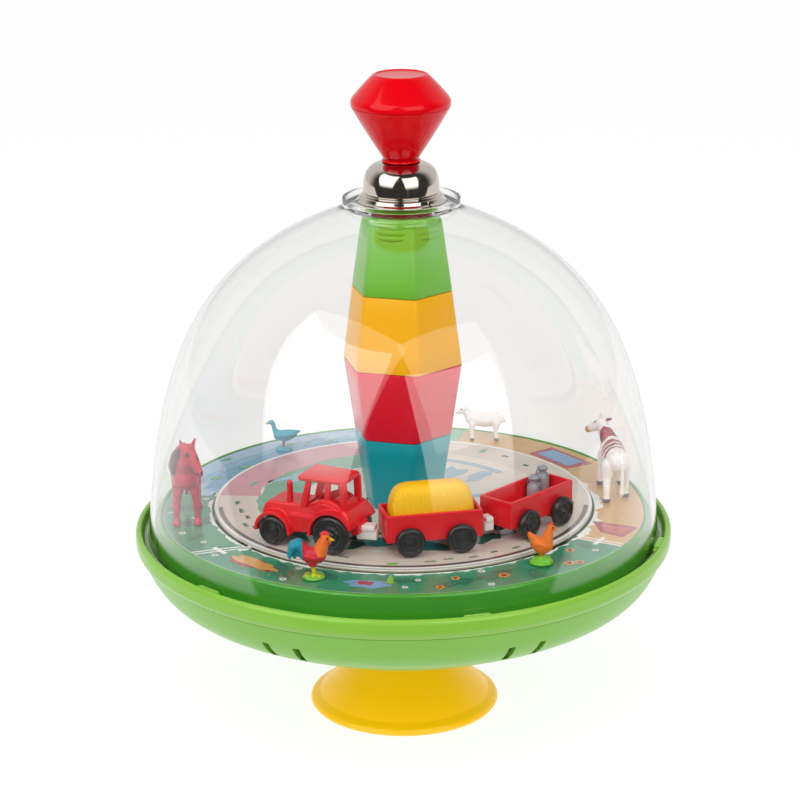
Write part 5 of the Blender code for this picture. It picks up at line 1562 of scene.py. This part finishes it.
def rooster_tint(p):
    """Teal tail, crimson body, orange hackle, red comb, yellow legs, green mound."""
    if p.z < 1.75 and not (p.z > 1.2 and abs(p.y) > 0.8 and noise.noise(p * 0.9) > 0.1):
        return srgb(120, 192, 60)
    if near(p, (4.9, 1.4, 14.1), 0.5) or near(p, (4.9, -1.4, 14.1), 0.5):
        return EYE
    if p.x > 5.75 and p.z > 12.4:
        return srgb(240, 190, 30)
    if p.z > 15.2 or near(p, (5.5, 0, 12.2), 1.0):
        return srgb(222, 26, 30)
    if p.z < 4.5 and abs(p.x) < 3:
        return srgb(236, 206, 40)
    if p.x < -3.3 and p.z > 6.0:
        return srgb(10, 142, 166)
    if p.x + 0.5 * (p.z - 9.0) > 1.5 and p.z > 8.2:
        return srgb(236, 112, 26)
    return srgb(206, 30, 52)


def hen_tint(p):
    """Orange hen on a green mound."""
    if p.z < 3.1:
        return srgb(112, 196, 50)
    if near(p, (3.6, 1.1, 12.9), 0.45) or near(p, (3.6, -1.1, 12.9), 0.45):
        return EYE
    if p.z > 13.7:
        return srgb(216, 60, 24)
    return srgb(236, 118, 30)


def build_horse(figures):
    """Horse with its head low and turned a little to its left."""
    chains = [limb((-8.5, 0, 17.2, 4.4), (-2, 0, 16.6, 4.5), (5, 0, 17, 4.8), (8, 0, 17.5, 4.4)),
              limb((7, 0, 19, 4.4), (9.3, 0.3, 23.6, 3.4), (10.2, 0.8, 27.6, 2.5)),
              limb((10.4, 1.2, 28.2, 2.4), (12.6, 3.0, 25.0, 1.9), (14.2, 4.4, 21.8, 1.35),
                   (14.6, 4.6, 21.0, 1.45)),
              limb((10.2, -0.6, 29.4, 0.9), (9.9, -1.4, 31.6, 0.35)),
              limb((10.8, 2.6, 29.6, 0.9), (10.8, 3.6, 32.4, 0.35)),
              limb((-12, 0, 18, 1.2), (-13.6, 0, 14, 1.6), (-13.6, 0, 7, 1.3), (-13, 0, 4, 0.5)),
              limb((9.4, -1.4, 29.0, 1.0), (9.0, -3.0, 25.8, 1.6), (8.8, -4.1, 22.2, 1.5),
                   (9.4, -4.0, 19.6, 0.8)),
              limb((8.6, 0.0, 29.6, 0.8), (6.4, -0.8, 26.6, 1.0), (4.4, -0.8, 22.6, 0.9))]
    chains += both_sides(limb((7.5, 2.5, 14.5, 2.2), (8.2, 3.2, 10, 1.5), (8.4, 3.4, 6.6, 1.3),
                              (8.2, 3.5, 2.6, 0.95),
                              (8.8, 3.6, 0.9, 1.5)))
    chains += both_sides(limb((-8, 2.8, 15, 2.9), (-7.4, 3.4, 10, 1.8), (-9, 3.8, 6.5, 1.3),
                              (-8.6, 4, 2.4, 1.0),
                              (-8.3, 4.1, 0.9, 1.5)))
    figure("farm_horse", "horse", (-75.6, -13.0, -84), chains, [], horse_tint, figures)


def build_cow(figures):
    """Cow seen from behind, with its head turned to its left."""
    chains = [limb((-8.5, -0.8, 14.6, 4.3), (-2, -0.4, 13.6, 4.8), (5, 0, 14.6, 4.5), (8.5, 0.4, 15.6, 3.9)),
              limb((8, 0.8, 17, 3.3), (10, 2.6, 20.6, 2.5), (10.4, 3.2, 22.4, 2.2)),
              limb((10.6, 3.6, 22.6, 2.1), (11.5, 6.2, 20.9, 1.7), (12.1, 8.2, 19.9, 1.3)),
              limb((9.8, 2.2, 24.0, 0.8), (8.2, 0.2, 25.0, 0.5)),
              limb((12.0, 3.6, 24.0, 0.8), (14.0, 3.4, 25.0, 0.5)),
              limb((10.3, 3.0, 24.4, 0.6), (10.2, 2.6, 25.6, 0.35)),
              limb((-10.5, -1.8, 18, 0.9), (-12.6, -1.9, 15, 0.7), (-13, -1.9, 8, 0.6),
                   (-12.8, -1.9, 4.2, 1.0),
                   (-12.6, -1.8, 3, 0.5)),
              limb((-8.6, 2.6, 13, 2.7), (-9, 3.1, 8.5, 1.7), (-10.4, 3.3, 5, 1.3), (-10.6, 3.3, 2.4, 1.15),
                   (-10.5, 3.3, 0.9, 1.5)),
              limb((-7.6, -3.2, 13, 2.7), (-6, -3.8, 8.5, 1.8), (-5.2, -4.1, 5, 1.3), (-4.8, -4.1, 2.4, 1.15),
                   (-4.7, -4.1, 0.9, 1.5)),
              limb((-5, 0, 10.4, 1.8), (-3, 0, 10.2, 1.6))]
    chains += both_sides(limb((8, 3, 12, 2.1), (8.4, 3.5, 7, 1.5), (8.5, 3.8, 2.6, 1.15),
                              (8.6, 3.8, 0.9, 1.5)))
    figure("farm_cow", "cow", (75.6, 10.0, 90), chains, [], cow_tint, figures)


def build_sheep(figures):
    """Small white sheep behind the column."""
    chains = [limb((-5, 0, 8.2, 2.9), (0, 0, 8, 3.1), (4.6, 0, 8.6, 2.7)),
              limb((5, 0, 9.4, 2.1), (7.4, 0, 11.6, 1.5)), limb((7.6, 0, 12, 1.5), (10.2, 0, 11, 0.95)),
              limb((-7.4, 0, 9.4, 0.6), (-8.4, 0, 7, 0.5))]
    chains += both_sides(limb((7.2, 1.2, 12.6, 0.5), (6.8, 2.5, 12.8, 0.4)))
    chains += both_sides(limb((4.4, 1.7, 7, 1.4), (4.5, 1.9, 4, 0.9), (4.4, 1.9, 0.7, 0.9)))
    chains += both_sides(limb((-4.8, 1.7, 7, 1.7), (-4.6, 2.0, 4, 0.9), (-5, 2.0, 0.7, 0.9)))
    figure("farm_sheep", "sheep", (31.0, 70.2, 180), chains, [], sheep_tint, figures)


def build_duck(figures):
    """Duck with a long neck on its mound."""
    chains = [limb((-3.6, 0, 6.4, 1.6), (-1, 0, 5.7, 2.3), (2, 0, 5.8, 2.0)),
              limb((2.6, 0, 6.6, 1.4), (3.6, 0, 8.4, 0.9), (3.9, 0, 10, 0.8), (4.5, 0, 11, 1.0)),
              limb((5.2, 0, 10.9, 0.7), (6.9, 0, 10.4, 0.35)),
              limb((-3.8, 0, 6.8, 1.1), (-6.2, 0, 7.4, 0.4))]
    chains += both_sides(limb((-3.4, 1.6, 6.6, 0.6), (-0.6, 2.1, 6.2, 0.9), (1.4, 1.8, 6.2, 0.7)))
    chains += both_sides(limb((0, 0.8, 4, 0.55), (0.2, 0.9, 1.4, 0.45), (1.2, 1.1, 1.2, 0.4)))
    figure("farm_duck", "duck", (-45.2, 59.2, 180), chains, [(0, 0, 0.5, 3.4, 3.3, 0.9),
                                                             (0.8, 0.6, 0.8, 2, 1.8, 0.9)],
           duck_tint, figures)


def build_fowl(figures):
    """Rooster and hen on their mounds."""
    mound = [(0.2, 0, 0.4, 3.9, 3.7, 0.9), (1.3, 1.2, 0.8, 2.2, 1.6, 0.9), (-1.3, -1.2, 0.8, 2.0, 1.6, 0.9),
             (-1.4, 1.3, 0.7, 1.7, 1.5, 0.8), (1.6, -1.4, 0.7, 1.7, 1.4, 0.8)]
    chains = [limb((-2.4, 0, 8.8, 2.5), (-0.2, 0, 7.6, 3.0), (1.8, 0, 8.2, 2.9)),
              limb((2.4, 0, 9.4, 2.6), (3.2, 0, 11.8, 2.0), (3.9, 0, 13.4, 1.6), (4.2, 0, 14.0, 1.5)),
              limb((5.2, 0, 13.8, 0.7), (6.9, 0, 13.1, 0.35)),
              limb((3.0, 0, 15.3, 0.6), (4.0, 0, 15.9, 0.7), (5.0, 0, 15.5, 0.55)),
              limb((5.4, 0, 12.8, 0.5), (5.5, 0, 11.9, 0.6))]
    for side in (-1.3, 0.0, 1.3):
        rise = 0.5 - abs(side) * 0.3
        chains.append(limb((-2.6, side * 0.6, 9.8, 1.7), (-4.6, side, 12.0 + rise, 1.5),
                           (-6.6, side * 1.1, 11.4, 1.3),
                           (-7.6, side * 1.2, 8.8, 0.8), (-7.4, side * 1.2, 7.4, 0.4)))
    chains.append(limb((-3, 0, 8.8, 1.5), (-5.4, 0.4, 9.4, 1.3), (-6.0, 0.5, 7.0, 0.6)))
    chains += both_sides(limb((-0.2, 1.1, 5.8, 1.6), (0.2, 1, 4.2, 0.8), (0.3, 1.2, 1.4, 0.5),
                              (1.9, 1.5, 1.3, 0.4)))
    chains += both_sides(limb((-2.0, 2.4, 8.4, 1.0), (0.6, 2.7, 7.8, 1.1)))
    figure("farm_rooster", "rooster", (-29.6, -71.0, 0), chains, mound, rooster_tint, figures)
    hen_mound = [(0.0, 0, 0.6, 4.0, 3.8, 1.2), (0.6, 0.2, 1.6, 2.8, 2.6, 1.4),
                 (-1.4, 0.8, 1.3, 1.8, 1.6, 1.1),
                 (1.6, -1.0, 1.2, 1.9, 1.5, 1.1)]
    chains = [limb((-1.8, 0, 7.4, 2.2), (0, 0, 5.8, 2.6), (1.4, 0, 6.6, 2.6)),
              limb((-2.2, 0, 8.4, 1.7), (-3.7, 0, 10.0, 1.0), (-4.1, 0, 10.8, 0.6)),
              limb((1.6, 0, 8.2, 2.2), (2.2, 0, 10.4, 1.6), (2.7, 0, 12.0, 1.3), (3.0, 0, 12.7, 1.25)),
              limb((3.8, 0, 12.5, 0.6), (5.0, 0, 12.0, 0.3)), limb((2.2, 0, 13.7, 0.5), (3.3, 0, 14.2, 0.5))]
    chains += both_sides(limb((0.2, 0.7, 5, 0.9), (0.3, 0.8, 1.6, 0.5)))
    chains += both_sides(limb((-1.4, 1.7, 7.6, 0.7), (0.6, 1.9, 7.0, 0.8)))
    figure("farm_hen", "hen", (45.6, -59.4, 0), chains, hen_mound, hen_tint, figures)


# ---------------------------------------------------------------- hidden parts and stage
def dress_inner_parts(vehicle):
    """Materials for the frame's own parts that stay as they are."""
    looks = {"pivot_pin": bare_steel(), "retaining_clip": bare_steel(), "thrust_washer": white_nylon(),
             "hub_bush": white_nylon(), "ratchet_ring": white_nylon(), "turntable_bush": white_nylon(),
             "stop_button": plastic("wheel_black", vehicle.black, 0.17, 0.2, 0.03)}
    for node, look in looks.items():
        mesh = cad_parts[node].data
        mesh.materials.clear()
        mesh.materials.append(look)


def soft_box(name, azimuth, elevation, distance, width, height, power):
    """Rectangular lamp that faces the middle of the top."""
    data = bpy.data.lights.new(name, "AREA")
    data.shape = "RECTANGLE"
    data.size = width
    data.size_y = height
    data.energy = power
    lamp = bpy.data.objects.new(name, data)
    side, rise = math.radians(azimuth), math.radians(elevation)
    target = Vector((0, 0, 0.11))
    away = Vector((math.sin(side) * math.cos(rise), -math.cos(side) * math.cos(rise), math.sin(rise)))
    lamp.location = target + away * distance
    lamp.rotation_euler = away.to_track_quat("Z", "Y").to_euler()
    lamp.visible_glossy = False
    bpy.context.scene.collection.objects.link(lamp)
    return lamp


# Each window: left side, right side (azimuth in degrees, lean with height), lowest and highest elevation.
LEFT_WINDOW = ((-65.0, -0.52), (-27.5, 0.35), 2, 57)
RIGHT_WINDOW = ((13.3, -0.26), (51.0, 0.22), 0, 46)
PAPER_WHITE = 1.05
FLOOR_GLOW = 0.9


def light_window(sky, azimuth, rise, left, right, low, high):
    """Share of a direction that falls in a soft box; each side has an azimuth and a lean with height."""
    inside = []
    for side, test in ((left, "GREATER_THAN"), (right, "LESS_THAN")):
        edge = sums(sky, "MULTIPLY_ADD", rise, side[1], math.radians(side[0]))
        inside.append(sums(sky, test, azimuth, edge))
    across = sums(sky, "MULTIPLY", *inside)
    below = sums(sky, "LESS_THAN", rise, math.radians(high))
    above = put(sky, "ShaderNodeMapRange", {"Value": rise, "From Min": math.radians(low),
                                            "From Max": math.radians(low + 8)}).outputs[0]
    return sums(sky, "MULTIPLY", across, sums(sky, "MULTIPLY", above, below))


def studio_world(stage):
    """White surroundings for the camera, an even fill, and two soft boxes seen only in reflections."""
    world = bpy.data.worlds.new("studio")
    world.use_nodes = True
    world.cycles.sampling_method = "NONE"
    sky = world.node_tree
    path = put(sky, "ShaderNodeLightPath")
    way = put(sky, "ShaderNodeSeparateXYZ", {0: put(sky, "ShaderNodeTexCoord").outputs["Generated"]})
    azimuth = sums(sky, "ARCTAN2", way.outputs[0], sums(sky, "MULTIPLY", way.outputs[1], -1.0))
    rise = sums(sky, "ARCSINE", way.outputs[2])
    left = light_window(sky, azimuth, rise, *LEFT_WINDOW)
    right = light_window(sky, azimuth, rise, *RIGHT_WINDOW)
    boxes = sums(sky, "MULTIPLY", sums(sky, "MAXIMUM", left, right), stage.boxes)
    behind = put(sky, "ShaderNodeMapRange", {"Value": way.outputs[1], "From Min": -0.1, "From Max": 0.55,
                                             "To Min": 0.05, "To Max": 0.8}, interpolation_type="SMOOTHSTEP")
    mirrored = sums(sky, "ADD", behind.outputs[0], boxes)
    bounced = sums(sky, "GREATER_THAN", path.outputs["Glossy Depth"], 0.5)
    spread = sums(sky, "GREATER_THAN", path.outputs["Diffuse Depth"], 0.5)
    seen = sums(sky, "MULTIPLY_ADD", bounced, sums(sky, "SUBTRACT", mirrored, PAPER_WHITE), PAPER_WHITE)
    strength = sums(sky, "MULTIPLY_ADD", spread, sums(sky, "SUBTRACT", stage.sky, seen), seen)
    back = sky.nodes["Background"]
    back.inputs["Color"].default_value = (1.0, 1.0, 1.0, 1.0)
    sky.links.new(strength, back.inputs["Strength"])
    return world


def build_stage(stage):
    """Pale floor, even white surroundings, two soft boxes and the camera."""
    work = bmesh.new()
    front, back, side = -0.18, 6.0, 4.0
    corners = [(-side, front, 0), (side, front, 0), (side, back, 0), (-side, back, 0)]
    work.faces.new([work.verts.new(corner) for corner in corners])
    mesh = settle(work, "floor", None, False)
    made, tree, shader = blank("floor_paper")
    spot = put(tree, "ShaderNodeTexCoord").outputs["Object"]
    grain = mottle(tree, spot, 900.0, 3.0)
    pale = (*stage.floor, 1.0)
    colour = blend_colours(tree, grain, pale, tuple(v * 0.985 for v in stage.floor) + (1.0,))
    dim = blend_colours(tree, 1.0, colour, (0.22, 0.22, 0.22, 1.0), "MULTIPLY")
    tree.links.new(dim, shader.inputs["Base Color"])
    tree.links.new(colour, shader.inputs["Emission Color"])
    shader.inputs["Emission Strength"].default_value = FLOOR_GLOW
    shader.inputs["Roughness"].default_value = 0.8
    shader.inputs["Specular IOR Level"].default_value = 0.0
    show("floor", mesh, made)
    scene = bpy.context.scene
    scene.world = studio_world(stage)
    scene.view_settings.view_transform = "Standard"
    scene.view_settings.look = "None"
    soft_box("soft_box_left", -44, 42, 0.95, 0.9, 0.9, stage.lamp)
    soft_box("soft_box_right", 34, 40, 0.95, 0.7, 0.9, stage.lamp * 0.8)
    data = bpy.data.cameras.new("camera")
    data.lens = stage.lens
    data.sensor_width = 36.0
    data.shift_x = -0.00325
    data.clip_end = 20.0
    camera = bpy.data.objects.new("camera", data)
    place = Vector((0, -stage.stand, stage.height))
    view = (Vector((0, 0, stage.aim)) - place).to_track_quat("-Z", "Y").to_matrix().to_4x4()
    roll = Matrix.Rotation(math.radians(-0.36), 4, "Z")
    camera.matrix_world = Matrix.Translation(place) @ view @ roll
    scene.collection.objects.link(camera)
    scene.camera = camera


# ---------------------------------------------------------------- operators
class TOP_OT_foot(bpy.types.Operator):
    """Build the suction foot"""
    bl_idname = "spinning_top.foot"
    bl_label = "Suction foot"

    def execute(self, context):
        build_foot(context.scene.top_shell)
        return {"FINISHED"}


class TOP_OT_bowl(bpy.types.Operator):
    """Build the bowl, its humming slots and the rim"""
    bl_idname = "spinning_top.bowl"
    bl_label = "Bowl and rim"

    def execute(self, context):
        build_bowl(context.scene.top_shell)
        return {"FINISHED"}


class TOP_OT_dome(bpy.types.Operator):
    """Build the clear dome"""
    bl_idname = "spinning_top.dome"
    bl_label = "Dome"

    def execute(self, context):
        build_dome(context.scene.top_shell)
        return {"FINISHED"}


class TOP_OT_cap(bpy.types.Operator):
    """Build the nickel cap"""
    bl_idname = "spinning_top.cap"
    bl_label = "Cap"

    def execute(self, context):
        build_cap(context.scene.top_shell)
        return {"FINISHED"}


class TOP_OT_tray(bpy.types.Operator):
    """Build the landscape tray"""
    bl_idname = "spinning_top.tray"
    bl_label = "Tray"

    def execute(self, context):
        build_tray(context.scene.top_shell)
        return {"FINISHED"}


class TOP_OT_column(bpy.types.Operator):
    """Build the four column blocks"""
    bl_idname = "spinning_top.column"
    bl_label = "Column"

    def execute(self, context):
        build_column(context.scene.top_shell)
        return {"FINISHED"}


class TOP_OT_pump(bpy.types.Operator):
    """Build the knob, the spindle and the drive nut"""
    bl_idname = "spinning_top.pump"
    bl_label = "Pump"

    def execute(self, context):
        build_pump(context.scene.top_shell)
        return {"FINISHED"}


class TOP_OT_landscape(bpy.types.Operator):
    """Build the printed farmland ring and its flowers"""
    bl_idname = "spinning_top.landscape"
    bl_label = "Farmland"

    def execute(self, context):
        build_landscape(context.scene.top_shell, context.scene.top_print)
        return {"FINISHED"}


class TOP_OT_turntable(bpy.types.Operator):
    """Build the turntable with its road"""
    bl_idname = "spinning_top.turntable"
    bl_label = "Turntable"

    def execute(self, context):
        build_turntable(context.scene.top_shell, context.scene.top_print)
        return {"FINISHED"}


class TOP_OT_wheels(bpy.types.Operator):
    """Build the wheels of the tractor and wagons"""
    bl_idname = "spinning_top.wheels"
    bl_label = "Wheels"

    def execute(self, context):
        build_wheels(context.scene.top_vehicles)
        return {"FINISHED"}


class TOP_OT_tractor(bpy.types.Operator):
    """Build the tractor"""
    bl_idname = "spinning_top.tractor"
    bl_label = "Tractor"

    def execute(self, context):
        build_tractor(context.scene.top_vehicles)
        return {"FINISHED"}


class TOP_OT_wagons(bpy.types.Operator):
    """Build the wagons and their couplings"""
    bl_idname = "spinning_top.wagons"
    bl_label = "Wagons"

    def execute(self, context):
        build_wagons(context.scene.top_vehicles)
        return {"FINISHED"}


class TOP_OT_loads(bpy.types.Operator):
    """Build the hay bale and the milk churns"""
    bl_idname = "spinning_top.loads"
    bl_label = "Hay and churns"

    def execute(self, context):
        build_loads(context.scene.top_vehicles)
        return {"FINISHED"}


class TOP_OT_animals(bpy.types.Operator):
    """Build the six animals"""
    bl_idname = "spinning_top.animals"
    bl_label = "Animals"

    def execute(self, context):
        figures = context.scene.top_figures
        build_horse(figures)
        build_cow(figures)
        build_sheep(figures)
        build_duck(figures)
        build_fowl(figures)
        return {"FINISHED"}


class TOP_OT_inner(bpy.types.Operator):
    """Give the hidden parts of the frame their materials"""
    bl_idname = "spinning_top.inner"
    bl_label = "Hidden parts"

    def execute(self, context):
        dress_inner_parts(context.scene.top_vehicles)
        return {"FINISHED"}


class TOP_OT_stage(bpy.types.Operator):
    """Build the floor, the lamps and the camera"""
    bl_idname = "spinning_top.stage"
    bl_label = "Stage"

    def execute(self, context):
        build_stage(context.scene.top_stage)
        return {"FINISHED"}


OPERATORS = (TOP_OT_foot, TOP_OT_bowl, TOP_OT_dome, TOP_OT_cap, TOP_OT_tray, TOP_OT_column, TOP_OT_pump,
             TOP_OT_landscape, TOP_OT_turntable, TOP_OT_wheels, TOP_OT_tractor, TOP_OT_wagons, TOP_OT_loads,
             TOP_OT_animals, TOP_OT_inner, TOP_OT_stage)
SETTINGS = {"top_shell": TopShellSettings, "top_print": TopPrintSettings, "top_vehicles": TopVehicleSettings,
            "top_figures": TopFigureSettings, "top_stage": TopStageSettings}


class TOP_PT_panel(bpy.types.Panel):
    """Settings and build steps of the spinning top"""
    bl_idname = "TOP_PT_panel"
    bl_label = "Spinning top"
    bl_space_type = "VIEW_3D"
    bl_region_type = "UI"
    bl_category = "Spinning top"

    def draw(self, context):
        for operator in OPERATORS:
            self.layout.operator(operator.bl_idname)
        for name in SETTINGS:
            settings = getattr(context.scene, name)
            box = self.layout.box()
            box.label(text=type(settings).__name__)
            for key in settings.bl_rna.properties.keys():
                if key not in ("rna_type", "name"):
                    box.prop(settings, key)


def register():
    """Register the settings, the operators and the panel."""
    for name, settings in SETTINGS.items():
        bpy.utils.register_class(settings)
        setattr(bpy.types.Scene, name, PointerProperty(type=settings))
    for kind in (*OPERATORS, TOP_PT_panel):
        bpy.utils.register_class(kind)


def unregister():
    """Remove what register added."""
    for kind in reversed((*OPERATORS, TOP_PT_panel)):
        bpy.utils.unregister_class(kind)
    for name, settings in SETTINGS.items():
        delattr(bpy.types.Scene, name)
        bpy.utils.unregister_class(settings)


def main():
    """Build every piece in order."""
    register()
    for operator in OPERATORS:
        getattr(bpy.ops.spinning_top, operator.bl_idname.split(".")[1])()


if __name__ == "__main__":
    main()
